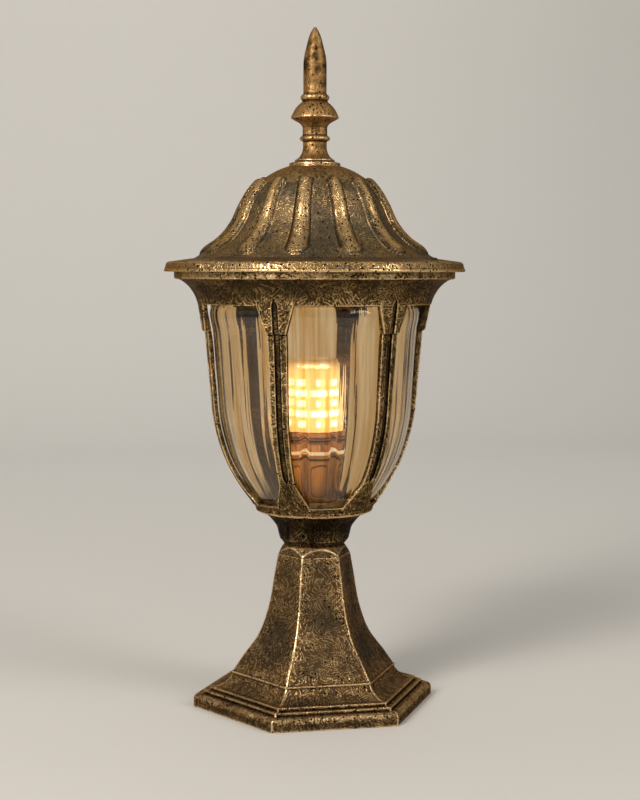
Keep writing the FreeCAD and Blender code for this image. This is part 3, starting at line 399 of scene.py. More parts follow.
def plain_finish(name, colour, metallic, roughness, size, bump, spread=0.12):
    """Finish with a fine grain of a given size.

    Colour and roughness drift a little, the surface is not flat, and marked creases are darkened as painted
    shade.
    """
    material, tree, place = blank_material(name)
    grain = add(tree, "TexNoise", {"Vector": place, "Scale": 1 / (size * MM), "Detail": 3.0}, "Fac")
    low = tuple(c * (1 - spread * 1.6) for c in colour[:3]) + (1.0,)
    tone = add(tree, "Mix", {0: grain, 6: low, 7: colour}, 2, data_type="RGBA")
    # Painted shade: the marked creases darken the colour down to 0.15 of itself
    marks = add(tree, "Attribute", out="Vector", attribute_name="marks")
    crease_shade = add(tree, "SeparateXYZ", {0: marks}, "Z")
    left = add(tree, "MapRange", {"Value": crease_shade, "To Min": 1.0, "To Max": 0.15}, 0)
    tone = add(tree, "VectorMath", {0: tone, 1: left}, 0, operation="MULTIPLY")
    rough = add(tree, "MapRange", {"Value": grain, "To Min": roughness - 0.06, "To Max": roughness + 0.1}, 0)
    height = add(tree, "Bump", {"Height": grain, "Strength": bump, "Distance": 0.2 * MM}, 0)
    return finished(material, Base_Color=tone, Metallic=metallic, Roughness=rough, Normal=height)


def amber_glass():
    """Pressed soda-lime glass with a light amber tint: clear, glossy, with amber streaks about 4 mm wide."""
    material, tree, place = blank_material("pressed_amber_glass")
    lines = streaked(tree, place, 75 / 4.0, (0.0, 0.0, 1 / 110))
    streak = add(tree, "TexNoise", {"Vector": lines, "Scale": 1.0, "Detail": 2.0}, "Fac")
    share = add(tree, "MapRange", {"Value": streak, "From Min": 0.4, "From Max": 0.72}, 0)
    pale, deep = tuple(colours().glass), tuple(colours().amber)
    stained = add(tree, "Mix", {0: share, 6: pale, 7: deep}, 2, data_type="RGBA")
    height = add(tree, "Bump", {"Height": streak, "Strength": 0.12, "Distance": 1.0 * MM}, 0)
    return finished(material, Base_Color=stained, Normal=height, Roughness=0.015, IOR=1.5,
                    Transmission_Weight=1.0)


def lit_cover(colour, glow):
    """Clear polycarbonate tube, slightly milky, with painted glow: the lamp's warm light, fading towards the
    top.
    """
    material, tree, place = blank_material("clear_polycarbonate_painted_glow")
    height = add(tree, "SeparateXYZ", {0: place}, "Z")
    low, high = (COVER_TOP - 10) * MM, (COVER_TOP - 2) * MM
    strength = add(tree, "MapRange", {"Value": height, "From Min": low, "From Max": high,
                                      "To Min": 0.24 * glow, "To Max": 0.05 * glow}, 0)
    return finished(material, Base_Color=colour, Roughness=0.28, IOR=1.45, Transmission_Weight=1.0,
                    Emission_Color=linear("#ffd79a"), Emission_Strength=strength)


def lit(name, colour, glow, strength):
    """Board, chip or seal that shines: its own colour plus emitted light, a little uneven; on the board and
    the seal it is painted glow.
    """
    material, tree, place = blank_material(name)
    drift = add(tree, "TexNoise", {"Vector": place, "Scale": 1 / (6 * MM)}, "Fac")
    power = add(tree, "MapRange", {"Value": drift, "To Min": 0.85 * strength, "To Max": 1.15 * strength}, 0)
    return finished(material, Base_Color=colour, Roughness=0.5, Emission_Color=glow, Emission_Strength=power)


def metre(default, name, description):
    return bpy.props.FloatProperty(name=name, description=description, default=default, subtype="DISTANCE",
                                   unit="LENGTH")


def tint(text, name, description):
    return bpy.props.FloatVectorProperty(name=name, description=description, default=linear(text), size=4,
                                         subtype="COLOR", min=0, max=1)


class LampSizes(bpy.types.PropertyGroup):
    """Sizes of the details that the visual model adds to the solids."""

    ease: metre(0.0004, "Edge ease", "How far a cast edge is rounded off")
    corner: metre(0.0003, "Corner cut", "Depth of the narrow flat along the pedestal's corners")
    groove: metre(0.0014, "Rib groove", "Depth of the groove along each rib")
    ripple: metre(0.0005, "Glass ripple", "Height of the ripples on the glass")
    gadroon: metre(0.0037, "Gadroon rise", "How far the gadroons stand above the dome")
    cove: metre(0.0016, "Lamp coves", "Depth of the coves between the panels of the lamp")
    wave: metre(0.0028, "Lamp wave", "How far the lamp's seam climbs at a cove")


class LampColours(bpy.types.PropertyGroup):
    """Colours and light of the lamp."""

    ground: tint("#423728", "Bronze ground", "Darkest tone of the sprayed ground")
    tone: tint("#70502b", "Bronze tone", "Warm tone where wax was rubbed in")
    stroke: tint("#d2b484", "Wax strokes", "Gold of the brush strokes")
    gold: tint("#eac795", "Bare gold", "Bright gold of the rubbed edges")
    glass: tint("#faebd0", "Glass", "Pale tint of the glass shade")
    amber: tint("#e6bd76", "Amber streaks", "Deeper tint of the streaks in the glass")
    rose: tint("#ffcda2", "Rose gold", "Anodised ring of the lamp")
    sink: tint("#e8b56a", "Gold sink", "Anodised housing of the lamp")
    glow: bpy.props.FloatProperty(name="Glow", description="Strength of the lit lamp", default=1.0, min=0)


def sizes():
    return bpy.context.scene.pillar_lamp_sizes


def colours():
    return bpy.context.scene.pillar_lamp_colours


class LAMP_OT_pedestal(bpy.types.Operator):
    """Hexagonal pedestal: one section on six flats, with narrow flats along the corners and a coned head"""

    bl_idname = "pillar_lamp.pedestal"
    bl_label = "Pedestal"

    def execute(self, context):
        edge = sizes().ease / MM
        cut = sizes().corner / MM
        foot = [(79.2, 6.2), (78.2, 8.6), (75.8, 9.6)]
        cove = [(64.1, 14.4), (57.8, 18.1), (53.7, 24.0)]
        wall = inset(SHAFT, 3.6)[::-1]
        wall = wall[wall[:, 1] < WEB_LOW]
        outer = Section([(0, WEB_LOW), (22.4, WEB_LOW), wall, (61.9, 8.4), (69.1, 6), (75.6, 6), (75.6, 0),
                         (79.2, 0), foot, (72.7, 9.6), (72.7, 12), (68.4, 12), (68.4, 14.4), cove, (54.4, 24),
                         (54.4, 25.5), SHAFT, (23.3, NECK_Z), (23.3, NECK_Z + 0.6)], edge, 1.5)
        head = Section([(23.3, NECK_Z + 0.9), (23.3, CUP_Z)], edge, 0.35)
        spigot = Section([(22.5, CUP_Z), (19.8, CUP_Z), (19.8, SPIGOT_TOP), (16.6, SPIGOT_TOP),
                          (16.6, WEB_TOP), (0, WEB_TOP)], edge)
        flat = np.concatenate((outer.x, head.x, spigot.x * 1.3))
        z = np.concatenate((outer.z, head.z, spigot.z))
        # No column reaches further from the axis than the head's cone or the round spigot
        cone = 22.5 + 0.71 * (CUP_Z - head.z)
        limit = np.concatenate((np.full(len(outer.z), np.inf), cone, spigot.x))
        # Half a flat is its distance times tan 30 degrees, less the corner cut; columns crowd to the corners
        share = np.sin(np.linspace(-1, 1, 41) * math.pi / 2)
        half = np.maximum(flat * math.tan(BAY / 2) - 2 * cut, 0)
        across = share[:, None] * half
        reach = np.hypot(across, flat)
        shrink = np.minimum(1, limit / np.maximum(reach, 1e-6))
        side = (across - 1j * flat) * shrink
        sides = side * np.exp(1j * BAY * np.arange(6))[:, None, None]
        bridge = (sides[:, -1:] + np.roll(sides, -1, 0)[:, :1]) / 2
        plan = np.concatenate((sides, bridge), 1).reshape(-1, len(z))
        points = np.stack((plan.real, plan.imag, np.broadcast_to(z, plan.shape)), -1)
        # Marks: gold along the corners, along the arches where flats meet the cone, and on the foot's bead
        corner = half * (1 - np.abs(share[:, None]))
        sharp = shrink == 1
        arch = np.exp(-np.abs(reach - limit) / 0.8)
        arch[:, -len(spigot.x):] = 0
        bead = 0.6 * ((z > 6.8) & (z < 9.5) & (flat > 74))
        edge_of = np.maximum(np.where(sharp, np.exp(-corner / 0.7), 0), np.maximum(arch, bead))
        rubbed = np.where(sharp, 0.75 * np.exp(-corner / 6), 0.4)
        marks = marked(edge_of, rubbed)
        marks = np.concatenate((marks, marks[:1]))
        marks = np.maximum(marks, np.concatenate((outer.marks, head.marks, spigot.marks)))
        # The foot's upright face took less wax, and its colour is darkened a little all over
        face = (z > 0.8) & (z < 6.0) & (flat > 78)
        marks[:, face] = marks[:, face] * (1, 0.25, 1) + (0, 0, 0.3)
        piece("pedestal", [(points, np.tile(marks, (6, 1, 1)))], bronze_paint("bronze_painted_aluminium"),
              "bronze_casting", "base_casting")
        return {"FINISHED"}


class LAMP_OT_cup(bpy.types.Operator):
    """Neck cup: a turned section with three round pits for the set screws"""

    bl_idname = "pillar_lamp.cup"
    bl_label = "Neck cup"

    def execute(self, context):
        pit_z, pit_r, pit_floor, wall = 128.6, 2.4, 24.3, 26.7
        section = Section([(20, CUP_Z), (21.9, CUP_Z), CUP_CURVE, (41.2, FLOOR_Z), (21.5, FLOOR_Z),
                           (21.5, SPIGOT_TOP), (20, SPIGOT_TOP), (20, CUP_Z)], sizes().ease / MM, 0.5)
        centres = -BAY / 2 + 2 * BAY * np.arange(3)
        angle = gathered(centres, 4 / wall, 27, 32)
        outside = (section.x > 21.9) & (section.z < 140)
        away = np.hypot(from_nearest(angle, centres) * section.x, section.z - pit_z)
        pit = np.where(outside, 1 - step_up(away, pit_r, pit_r + 0.4), 0)
        radius = section.x + pit * (pit_floor - section.x)
        lip = np.where(outside, 0.8 * np.exp(-np.abs(away - pit_r - 0.5) / 0.4), 0)
        # Worn gold round each pit's lip; the pit's floor is darkened as painted shade
        marks = np.maximum(section.marks, marked(lip, 0.4 * lip, pit))
        points = turn_points(radius, angle, section.z)
        # The cup has fewer hairlines, and its ground and tone are darkened to nearly black as painted shade
        finish = bronze_paint("bronze_painted_aluminium_cup_painted_shade", 0.6, -0.15, ground="#1b1309", tone="#4d371a")
        piece("neck_cup_shell", [(points, marks)], finish, "bronze_casting", "neck_cup")
        return {"FINISHED"}


class LAMP_OT_cage(bpy.types.Operator):
    """Lantern cage: turned collar and foot ring, and six ribs carried along the acorn curve"""

    bl_idname = "pillar_lamp.cage"
    bl_label = "Lantern cage"

    def groove_half(self, z):
        """Half width of a rib's groove at a height: constant, with a point at each end."""
        return 2.3 * np.clip((z - GROOVE_LOW) / 5, 0, 1) * np.clip((304.1 - z) / 5, 0, 1)

    def collar(self, edge, depth):
        """Section carried round, pushed in at each rib by the groove that runs up into it."""
        section = Section([(81.5, WINDOW_TOP), CAVETTO, (102.7, LIP_Z), (103.5, 317.8), (103.5, COLLAR_TOP),
                           (81.5, COLLAR_TOP), (81.5, WINDOW_TOP)], edge, 0.9)
        angle = gathered(RIB_ANGLES, 3.4 / CAVETTO[0][0], 21, 30)
        off = np.abs(from_nearest(angle, RIB_ANGLES)) * section.x
        half = np.where(section.x > 85.0, self.groove_half(section.z), 0)
        sink = np.where(half > 0, depth * (1 - step_up(off, half - 0.35, half + 0.1)), 0)
        points = turn_points(section.x - sink, angle, section.z)
        lip = (section.x > 102) & (section.z > 316)
        # Painted shade along the groove, as strong as the groove is deep
        return points, np.maximum(section.marks, marked(0.6 * lip, lip, sink / depth))

    def rib(self, edge, depth):
        """Grooved band: width and groove follow the height, depth runs from the outer to the inner curve."""
        foot, top = 150.6, 305.4
        path = Section([(46.2, foot), RIB_CURVE, (83.1, CAP_Z + 0.5), (86.15, WINDOW_TOP), (88.3, top)],
                       edge, 1.4)
        inner = np.vstack(([(43.4, foot)], inset(RIB_CURVE, 3.2), [(82.5, WINDOW_TOP), (83.0, top)]))
        knots = np.concatenate(([foot], np.array(RIB_CURVE)[:, 1], [WINDOW_TOP, top]))
        inner_r, inner_z = (np.interp(path.z, *smooth(np.column_stack((knots, values)), 1.0).T)
                            for values in inner.T)
        half = np.interp(path.z, (WINDOW_LOW, GROOVE_LOW, CAP_Z, WINDOW_TOP), (12.5, 5.9, 7.2, 13.8))
        groove = self.groove_half(path.z)
        fade = np.clip(groove / 0.8, 0, 1)
        # Columns of the left half: measured from the edge 0, band 1 or groove 2; offset, depth, three marks
        # The last column of marks is painted shade, strongest on the groove's floor
        table = np.array(((0, 0, 9.0, 0, 0, 0), (0, 0, 1.6, 0, 0.3, 0), (0, 0, 0.45, 0.8, 0.6, 0),
                          (0, 0.12, 0.13, 1.0, 0.6, 0), (0, 0.45, 0, 1.0, 0.6, 0), (0, 1.0, 0, 0.5, 0.5, 0),
                          (1, 0.2, 0, 0, 0.4, 0), (1, 0.4, 0, 0, 0.35, 0), (1, 0.6, 0, 0, 0.35, 0),
                          (1, 0.8, 0, 0, 0.4, 0), (2, -0.45, 0, 0.6, 0.5, 0), (2, -0.1, 0.1, 0.9, 0.5, 0),
                          (2, 0.1, 0.5, 0.2, 0.3, 0.6), (2, 0.35, 1.25, 0, 0, 1), (2, 0.7, 1.4, 0, 0, 0.9),
                          (2, 1.4, 1.4, 0, 0, 0.4), (2, 2.3, 1.4, 0, 0, 0.3)))
        kind, shift, deep = (table[:, i:i + 1] for i in range(3))
        band = (-half + 1.0) + shift * (half - 1.0 - np.maximum(groove, 0.6) - 0.5)
        x = np.where(kind == 0, -half + shift, np.where(kind == 1, band, -groove + shift))
        x = np.minimum(x, 0.012 * (np.arange(len(table)) - len(table) + 1)[:, None])
        deep = np.where(kind == 2, deep / 1.4 * depth * fade, deep)
        marks = table[:, None, 3:] * np.where(kind == 2, fade, 1.0)[..., None]
        x = np.vstack((x, -x[-2::-1], half * 0.4, -half * 0.4))
        deep = np.vstack((deep, deep[-2::-1], deep[:1], deep[:1]))
        marks = np.concatenate((marks, marks[-2::-1], marks[:1], marks[:1]))
        thick = np.hypot(path.x - inner_r, path.z - inner_z)
        share = np.minimum(deep / thick, 1)
        radius = path.x + (inner_r - path.x) * share
        z = path.z + (inner_z - path.z) * share
        points = turn_points(radius, x / path.x, z)
        ends = [np.broadcast_to(points[:, i].mean(0), (len(points), 1, 3)) for i in (0, -1)]
        points = np.concatenate((ends[0], points, ends[1]), 1)
        # The path's own marks: less gold on its edges, and full painted shade in its creases, as under the
        # cap's step
        marks = np.maximum(marks, path.marks * (0.4, 0.6, 1.0))
        return points, np.pad(marks, ((0, 0), (1, 1), (0, 0)))

    def execute(self, context):
        edge = sizes().ease / MM
        depth = sizes().groove / MM
        ring = Section([(22.5, FLOOR_Z), (43.3, FLOOR_Z), (44.1, 148.7), (47.3, WINDOW_LOW),
                        (44.2, WINDOW_LOW), (43.3, 149.5), (22.5, 149.5), (22.5, FLOOR_Z)], edge)
        points, marks = self.rib(edge, depth)
        ribs = []
        for angle in RIB_ANGLES:
            plan = (points[..., 0] + 1j * points[..., 1]) * np.exp(1j * angle)
            ribs.append((np.stack((plan.real, plan.imag, points[..., 2]), -1), marks))
        # The cage has bright hairlines on a darker ground than the pedestal
        finish = bronze_paint("bronze_painted_aluminium_cage", 0.95, 0.05, ground="#372b1a", tone="#5c4526",
                              stroke="#d6b67f")
        piece("lantern_cage_shell", [self.collar(edge, depth), turned(ring)] + ribs, finish, "bronze_casting",
              "lantern_cage")
        return {"FINISHED"}


class LAMP_OT_glass(bpy.types.Operator):
    """Glass shade: the acorn curve carried round, with ripples from a sum of sines that drift upwards.

    Both walls follow the same ripples, and the inner one has a fainter, finer set of its own
    """

    bl_idname = "pillar_lamp.glass"
    bl_label = "Glass shade"

    def execute(self, context):
        share = (np.array(RIB_CURVE)[:, 1] - WINDOW_LOW) / (CAP_Z - WINDOW_LOW)
        wall = inset(RIB_CURVE, 3.7 + 1.6 * share)[1:]
        outer = np.vstack(([(41.4, 151.0)], wall, [(77.6, 295.6), (75.5, 300.5), (70.0, 302.6)]))
        inner = inset(outer, 3.0)
        inner[0] = (38.4, 151.0)
        inner[-1] = (70.0, 299.6)
        section = Section([inner[::-1].tolist(), outer.tolist(), tuple(inner[-1])], 0.6, 2.0)
        angle = around(420)
        z = section.z
        ripple = 0.6 * np.sin(13 * angle + 1.4 * np.sin(z / 37)) + 0.4 * np.sin(23 * angle + 0.9 + z / 52)
        streak = 0.16 * np.sin(37 * angle - z / 61) * np.sin(5 * angle + 1)
        streak = streak + 0.1 * np.sin(61 * angle + z / 45)
        inside = np.arange(len(z)) <= np.argmin(z[:-1])
        fade = step_up(z, 153, 165) * (1 - step_up(z, 292, 301))
        points = turn_points(section.x + (ripple + streak * inside) * fade * sizes().ripple / MM, angle, z)
        piece("glass_shade_rippled", [(points, 0.0)], amber_glass(), "shade_glass", "glass_shade", sharp=60)
        return {"FINISHED"}


class LAMP_OT_roof(bpy.types.Operator):
    """Roof: the dome's section carried round, raised along its normal in thirteen elliptic fingers"""

    bl_idname = "pillar_lamp.roof"
    bl_label = "Roof"

    def execute(self, context):
        edge = sizes().ease / MM
        dome = smooth(DOME, 1.3)
        lining = inset(smooth(DOME, 2.6), 3.0)[::-1]
        lining = lining[(lining[:, 1] < 394.0) & (lining[:, 0] < 80.5)]
        bead = [(110.3, 322.2), (110.9, 323.5), (110.2, 324.6)]
        section = Section([(0, 394.5), (24.0, 394.5), lining, (81.5, BRIM_Z), (106.3, BRIM_Z), (106.3, 322.2),
                           bead, (109.3, 328.1), (108.0, 329.4), dome, (20.5, 398.7), (20.5, ROOF_TOP),
                           (0, ROOF_TOP)], edge, 2.6)
        on_dome = np.arange(len(section.x)) > np.argmax(section.x)
        # A gadroon's foot and top: levels, half widths and lengths of the rounded ends
        levels, (foot_half, top_half), (foot_end, top_end) = (334.0, 389.7), (10.2, 5.6), (9.5, 5.3)
        low, high = np.interp(levels, section.z[on_dome], section.along[on_dome])
        length = high - low
        way = section.along - low
        half = top_half + (foot_half - top_half) * (1 - np.clip(way / length, 0, 1)) ** 2
        tip = np.minimum(way / foot_end, (length - way) / top_end)
        taper = np.sqrt(np.maximum(1 - (1 - np.clip(tip, 0, 1)) ** 2, 1e-9))
        taper = np.where(on_dome & (tip > 0), taper, 1e-4)
        angle = around(GADROONS * 32, GADROON_FIRST)
        off = from_nearest(angle, around(GADROONS, GADROON_FIRST)[:, 0]) * section.x
        rise = sizes().gadroon / MM
        share = off / (half * taper)
        swell = np.sqrt(np.maximum(1 - share ** 2, 0)) * taper
        lift = np.maximum((rise + 1.0) * swell - 1.0, 0)
        points = turn_points(section.x + lift * section.normal[:, 0], angle,
                             section.z + lift * section.normal[:, 1])
        # Marks: worn gold crests, a painted highlight round each gadroon, painted shade on the flanks that is
        # wider on the left, a bright edge on the rim
        outline_highlight = np.exp(-np.abs(np.abs(off) - half * taper - 0.4) / 0.4) * (on_dome & (taper > 0.01))
        crest = np.clip(lift / rise, 0, 1)
        flank_shade = np.maximum(0.85 * step_up(-share, 0.35, 0.85), np.exp(-((crest - 0.3) / 0.2) ** 2))
        flank_shade = flank_shade * (lift > 0)
        rim = np.where(on_dome, 1.3 * np.exp(-np.abs(section.z - RIM_EDGE) / 0.45), 0)
        bare_and_highlight = np.maximum(0.95 * step_up(crest, 0.7, 1.0) * (1 - flank_shade), np.maximum(0.8 * outline_highlight, rim))
        rubbed = np.maximum(step_up(crest, 0.4, 0.9), step_up(section.z, 383, 392))
        section.marks[on_dome & (section.z > RIM_EDGE - 3.6) & (section.z < RIM_EDGE - 0.6), :2] *= 0.55
        marks = np.maximum(section.marks, marked(bare_and_highlight, rubbed, 0.6 * flank_shade))
        # The roof is paler, with hairlines all over
        finish = bronze_paint("bronze_painted_aluminium_roof", 2.3, 0.03, ground="#5a4f3e", tone="#94703f",
                              gold="#f2c98e")
        piece("roof_shell", [(points, marks)], finish, "bronze_casting", "roof")
        return {"FINISHED"}


class LAMP_OT_finial(bpy.types.Operator):
    """Spear finial: a turned section of discs, rings, a bell and a pointed shaft"""

    bl_idname = "pillar_lamp.finial"
    bl_label = "Finial"

    def execute(self, context):
        flare = [(14.2, 404.0), (11.1, 406.4), (9.4, 409.6), (8.7, 413.5)]
        ring = [(8.7, 417.2), (11.2, 419.4), (9.1, 421.6)]
        under = [(9.0, 427.6), (10.8, 430.2), (14.9, 432.6), (17.5, 434.2)]
        bell = [(17.5, 434.8), (16.4, 437.3), (14.0, 441.5), (9.6, 445.7)]
        bead = [(9.2, 446.8), (10.6, 449.2), (8.7, 451.6)]
        spear = [(8.5, 473.0), (7.7, 480.0), (6.5, 484.9), (3.6, 494.9), (1.1, 499.6)]
        section = Section([(0, ROOF_TOP), (18.8, ROOF_TOP), (18.8, 401.4), (14.6, 402.6), (14.6, 403.8),
                           flare, ring, under, bell, bead, (8.5, 451.6), spear, (0, 500)],
                          sizes().ease / MM, 0.9)
        # The finial is rubbed almost all over: gold with small dark clouds
        finish = bronze_paint("gold_painted_aluminium", 0.6, 0.12, 6.0, ground="#3a2a14", tone="#b08651",
                              stroke="#d4b07c")
        piece("finial_spear", [turned(section, 120)], finish, "gold_casting", "finial")
        return {"FINISHED"}


class LAMP_OT_light_source(bpy.types.Operator):
    """Screw-in lamp: panelled housing, wavy seal, rose gold ring and fluted cover, sections carried round"""

    bl_idname = "pillar_lamp.light_source"
    bl_label = "Screw-in lamp"

    def panelled(self, section, climb):
        """Section carried round with six coves: pushed in by a cosine hump, lifted by a cusp at each cove."""
        angle = around(300)
        off = from_nearest(angle, RIB_ANGLES)
        hump = 0.5 + 0.5 * np.cos(math.pi * np.minimum(np.abs(off) / math.radians(10), 1))
        cusp = np.maximum(1 - np.abs(off) / math.radians(13), 0) ** 1.3
        cove = hump * step_up(section.x, 15, 18)
        return angle, section.x - sizes().cove / MM * cove, section.z + sizes().wave / MM * cusp * climb, cove

    def housing(self):
        """Cone with coves; a groove frames each panel, where the distance from an upright bar is 4.6 mm."""
        top = FLANGE_Z + 3.8
        flange = [(22.4, FLANGE_Z + 0.2), (23.4, FLANGE_Z + 1.4), (23.3, FLANGE_Z + 2.9), (22.4, top)]
        section = Section([(0, LAMP_Z), (18.4, LAMP_Z), (19.2, LAMP_Z + 1.2), (21.9, FLANGE_Z), flange,
                           (0, top)], 0.5, 0.6)
        climb = step_up(section.z, FLANGE_Z - 3, FLANGE_Z + 1) * step_up(section.x, 18, 20)
        angle, radius, z, cove = self.panelled(section, climb)
        middle = from_nearest(angle, RIB_ANGLES + BAY / 2) * section.x
        width = np.maximum(np.abs(middle) - 1.6, 0)
        depth = np.maximum(np.abs(section.z - LAMP_Z - 14.5) - 6.4, 0)
        line = np.abs(np.hypot(width, depth) - 4.6)
        upright = (section.z > LAMP_Z + 1.5) & (section.z < FLANGE_Z - 1)
        groove = (1 - step_up(line, 0.2, 0.6)) * upright
        points = turn_points(radius - 0.35 * groove, angle, z)
        # Gold anodising: a satin metal shine, with painted shade in the grooves and, fainter, in the coves
        finish = plain_finish("gold_anodised_aluminium", tuple(colours().sink), 1.0, 0.3, 5.0, 0.3)
        marks = np.maximum(section.marks, marked(crease_shade=np.maximum(groove, 0.4 * cove)))
        piece("lamp_housing", [(points, marks)], finish, "gold_sink", "bulb_housing")

    def ring(self):
        """Band with coves and two beads; below them, 30 flutes from the sixth power of a sine."""
        beads = [[(22.3, z - 0.7), (23.0, z), (22.3, z + 0.7)] for z in (RING_Z + 8.3, RING_Z + 10.4)]
        section = Section([(0, RING_Z), (22.3, RING_Z), *beads, (21.8, RING_Z + 11.6), (21.8, COVER_Z - 0.4),
                           (21.4, COVER_Z), (0, COVER_Z)], 0.3, 0.5)
        angle, radius, z, cove = self.panelled(section, 1 - step_up(section.z, COVER_Z - 5, COVER_Z - 0.5))
        flute = np.abs(np.sin(15 * angle)) ** 6 * step_up(section.x, 19, 21)
        flute = flute * (1 - step_up(section.z, RING_Z + 6.8, RING_Z + 7.4))
        points = turn_points(radius - 0.25 * flute, angle, z)
        # Rose gold anodising: pinker and brighter than the housing
        finish = plain_finish("rose_gold_anodised_aluminium", tuple(colours().rose), 1.0, 0.22, 5.0, 0.2)
        # Painted shade in the flutes and coves
        marks = np.maximum(section.marks, marked(crease_shade=np.maximum(0.25 * flute, 0.3 * cove)))
        piece("lamp_ring", [(points, marks)], finish, "rose_gold", "bulb_ring")

    def seal(self):
        """Flat band that climbs at each cove over its whole height."""
        low, high = FLANGE_Z + 3.85, RING_Z + 1.5
        section = Section([(19.5, low), (23.2, low), (23.5, low + 0.9), (23.2, high - 0.4), (22.4, high),
                           (19.5, high), (19.5, low)], 0.3, 0.6)
        angle, radius, z = self.panelled(section, 1.0)[:3]
        # White silicone, soft and translucent: the lamp's light that it carries is painted glow
        finish = lit("white_silicone_painted_glow", linear("#f4f1ea"), linear("#fff0dc"), 0.5 * colours().glow)
        points = turn_points(radius, angle, z)
        piece("lamp_seal", [(points, section.marks)], finish, "white_plastic", "bulb_seal")

    def cover(self):
        """Tube with a rounded end, pushed in from outside by 36 waves of a cosine."""
        shell = [(21.0, COVER_TOP - 6.4), (19.1, COVER_TOP - 1.9), (14.6, COVER_TOP)]
        lining = [(14.6, COVER_TOP - 1.6), (18.0, COVER_TOP - 3.0), (19.4, COVER_TOP - 6.4)]
        section = Section([(0, COVER_TOP - 1.6), lining, (19.4, COVER_Z), (21, COVER_Z), shell,
                           (0, COVER_TOP)], 0.3, 1.2)
        angle = around(288)
        outside = np.arange(len(section.z)) > np.argmin(section.z)
        fade = outside * (1 - step_up(section.z, COVER_TOP - 8, COVER_TOP - 3))
        fade = fade * step_up(section.z, COVER_Z + 0.9, COVER_Z + 2.4)
        points = turn_points(section.x - 0.16 * fade * (0.5 + 0.5 * np.cos(36 * angle)), angle, section.z)
        piece("lamp_cover", [(points, 0.0)], lit_cover(linear("#fff8ea"), colours().glow), "cover_plastic",
              "bulb_cover", sharp=60)

    def execute(self, context):
        self.housing()
        self.ring()
        self.seal()
        self.cover()
        return {"FINISHED"}


class LAMP_OT_hardware(bpy.types.Operator):
    """Finishes of the solids that stay as they are: fasteners, lamp holder, boards, seals and wiring"""

    bl_idname = "pillar_lamp.hardware"
    bl_label = "Hardware finishes"

    def execute(self, context):
        glow = colours().glow
        groups = (
            # Blackened steel: dark oxide with a dull shine, so the fixings sink into the bronze
            (plain_finish("blackened_steel", linear("#4a3b26"), 0.8, 0.42, 2.5, 0.4),
             ("set_screws", "roof_screws")),
            # Zinc plate: bright cold grey with soft clouds
            (plain_finish("zinc_plated_steel", linear("#a9abad"), 1.0, 0.34, 3.0, 0.25),
             ("cage_screws", "clip_screws", "glass_clips", "finial_stud", "finial_washer", "finial_nut",
              "holder_plate", "mounting_strap", "tie_rod", "strap_nut", "tie_washer", "tie_nut",
              "terminal_screw", "earth_screw")),
            # Nickel plate over brass: warm and smooth
            (plain_finish("nickel_plated_brass", linear("#c9bf9f"), 1.0, 0.22, 4.0, 0.15),
             ("lampholder_shell", "lampholder_contact", "bulb_screw_cap", "bulb_cap_contact")),
            # Glazed porcelain: creamy white, wet shine
            (plain_finish("glazed_porcelain", linear("#ece7db"), 0.0, 0.12, 8.0, 0.1, 0.05),
             ("lampholder_body",)),
            # Moulded rubber: black, matt, slightly dusty
            (plain_finish("moulded_rubber", linear("#1c1b1a"), 0.0, 0.75, 1.8, 0.5),
             ("roof_gasket", "lead_grommets")),
            # Silicone rubber: milky and soft
            (plain_finish("silicone_rubber", linear("#bdb9ae"), 0.0, 0.4, 4.0, 0.2), ("glass_seat_gasket",)),
            # Moulded plastic: satin, faint mould grain
            (plain_finish("black_moulded_plastic", linear("#1a1a1a"), 0.0, 0.5, 1.4, 0.4),
             ("bulb_cap_insulator",)),
            (plain_finish("white_moulded_plastic", linear("#e4e1d8"), 0.0, 0.35, 2.0, 0.2, 0.06),
             ("holder_ring", "terminal_block")),
            # Wire sleeves: soft vinyl
            (plain_finish("brown_vinyl_sleeve", linear("#593217"), 0.0, 0.45, 1.5, 0.2), ("live_lead",)),
            (plain_finish("blue_vinyl_sleeve", linear("#2a55a0"), 0.0, 0.45, 1.5, 0.2), ("neutral_lead",)),
            # Circuit board with painted glow, between phosphor chips that give the lamp's light
            (lit("circuit_board_painted_glow", linear("#cbb894"), linear("#ffcf90"), 0.75 * glow), ("led_column",)),
            (lit("lit_phosphor_chip", linear("#fff2c8"), linear("#fff3dc"), 4.0 * glow), ("led_chips",)),
        )
        for material, names in groups:
            for name in names:
                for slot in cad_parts[name].material_slots:
                    slot.material = material
        return {"FINISHED"}


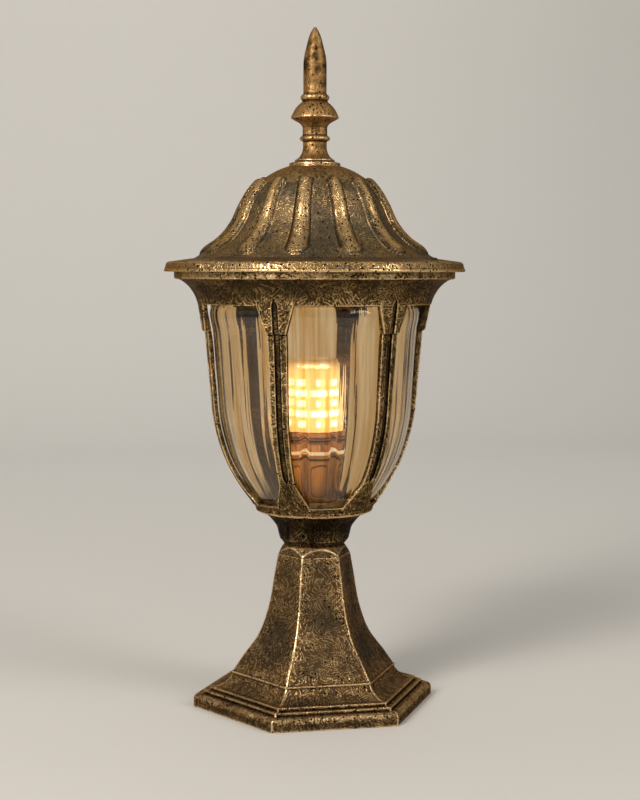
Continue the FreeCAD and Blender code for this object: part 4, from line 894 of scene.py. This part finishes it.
class LAMP_OT_stage(bpy.types.Operator):
    """Stage: pale floor that sweeps up behind, soft studio light and the camera of the picture"""

    bl_idname = "pillar_lamp.stage"
    bl_label = "Stage"

    def floor(self):
        """Floor profile along Y: flat, then an arc, then a wall, pushed along X."""
        turn = np.linspace(0, math.pi / 2, 24)
        y = np.concatenate(([-14.0], 1.6 + 0.9 * np.sin(turn), [2.5]))
        z = np.concatenate(([0.0], 0.9 - 0.9 * np.cos(turn), [3.5]))
        x = np.linspace(-14, 14, 3)
        points = np.stack(np.broadcast_arrays(x[:, None], y, z - 0.0002), -1)
        index = np.arange(points[..., 0].size).reshape(points.shape[:2])
        mesh = bpy.data.meshes.new("floor")
        mesh.from_pydata(points.reshape(-1, 3), [], quads(index).tolist())
        mesh.shade_smooth()
        # Paper sweep: pale, matt and even
        mesh.materials.append(plain_finish("pale_paper", linear("#d2cfc9"), 0.0, 0.8, 60.0, 0.05, 0.01))
        placed("floor", mesh)

    def light(self, name, place, aim, size, power, colour):
        data = bpy.data.lights.new(name, "AREA")
        data.shape = "RECTANGLE"
        data.size, data.size_y = size
        data.energy = power
        data.color = linear(colour)[:3]
        lamp = placed(name, data)
        lamp.location = place
        heading = np.subtract(aim, place)
        lamp.rotation_euler = (math.atan2(np.hypot(*heading[:2]), -heading[2]), 0,
                               math.atan2(heading[1], heading[0]) - math.pi / 2)

    def camera(self):
        """Camera worked out from the picture: place, pitch and roll, turned with the lamp by 11.3 degrees."""
        data = bpy.data.cameras.new("camera")
        data.lens = 70.24
        turn = Matrix.Rotation(math.radians(-11.3), 4, "Z")
        roll = Matrix.Rotation(math.radians(0.113), 4, "Z")
        tilt = Matrix.Rotation(math.radians(90 - 4.835), 4, "X") @ roll
        camera = placed("camera", data)
        camera.matrix_world = turn @ Matrix.Translation((0.00413, -1.15654, 0.325)) @ tilt
        bpy.context.scene.camera = camera

    def execute(self, context):
        self.floor()
        aim = (0, 0, 0.25)
        self.light("key", (-1.3, -1.2, 1.2), aim, (0.45, 1.3), 36, "#fff8f0")
        self.light("fill", (1.3, -1.2, 1.2), aim, (0.6, 1.3), 14, "#fffaf4")
        self.light("backdrop", (0, 0.9, 1.9), (0, 2.4, 0.9), (2.4, 0.5), 16, "#ffffff")
        self.camera()
        world = bpy.data.worlds.new("studio")
        world.use_nodes = True
        sky = world.node_tree.nodes["Background"].inputs
        sky["Color"].default_value = linear("#d8d6d2")
        sky["Strength"].default_value = 0.46
        bpy.context.scene.world = world
        bpy.context.scene.view_settings.view_transform = "Standard"
        return {"FINISHED"}


STEPS = (LAMP_OT_stage, LAMP_OT_pedestal, LAMP_OT_cup, LAMP_OT_cage, LAMP_OT_glass, LAMP_OT_roof,
         LAMP_OT_finial, LAMP_OT_light_source, LAMP_OT_hardware)


class LAMP_PT_sidebar(bpy.types.Panel):
    """Sizes, colours and building steps of the pillar lamp"""

    bl_idname = "LAMP_PT_sidebar"
    bl_label = "Pillar lamp"
    bl_space_type = "VIEW_3D"
    bl_region_type = "UI"
    bl_category = "Pillar lamp"

    def draw(self, context):
        for group in (sizes(), colours()):
            box = self.layout.box()
            for name in group.__annotations__:
                box.prop(group, name)
        for step in STEPS:
            self.layout.operator(step.bl_idname)


CLASSES = (LampSizes, LampColours) + STEPS + (LAMP_PT_sidebar,)


def register():
    for kind in CLASSES:
        bpy.utils.register_class(kind)
    bpy.types.Scene.pillar_lamp_sizes = bpy.props.PointerProperty(type=LampSizes)
    bpy.types.Scene.pillar_lamp_colours = bpy.props.PointerProperty(type=LampColours)


def unregister():
    del bpy.types.Scene.pillar_lamp_colours
    del bpy.types.Scene.pillar_lamp_sizes
    for kind in reversed(CLASSES):
        bpy.utils.unregister_class(kind)


def main():
    register()
    bpy.ops.pillar_lamp.stage()
    bpy.ops.pillar_lamp.pedestal()
    bpy.ops.pillar_lamp.cup()
    bpy.ops.pillar_lamp.cage()
    bpy.ops.pillar_lamp.glass()
    bpy.ops.pillar_lamp.roof()
    bpy.ops.pillar_lamp.finial()
    bpy.ops.pillar_lamp.light_source()
    bpy.ops.pillar_lamp.hardware()


if __name__ == "__main__":
    main()
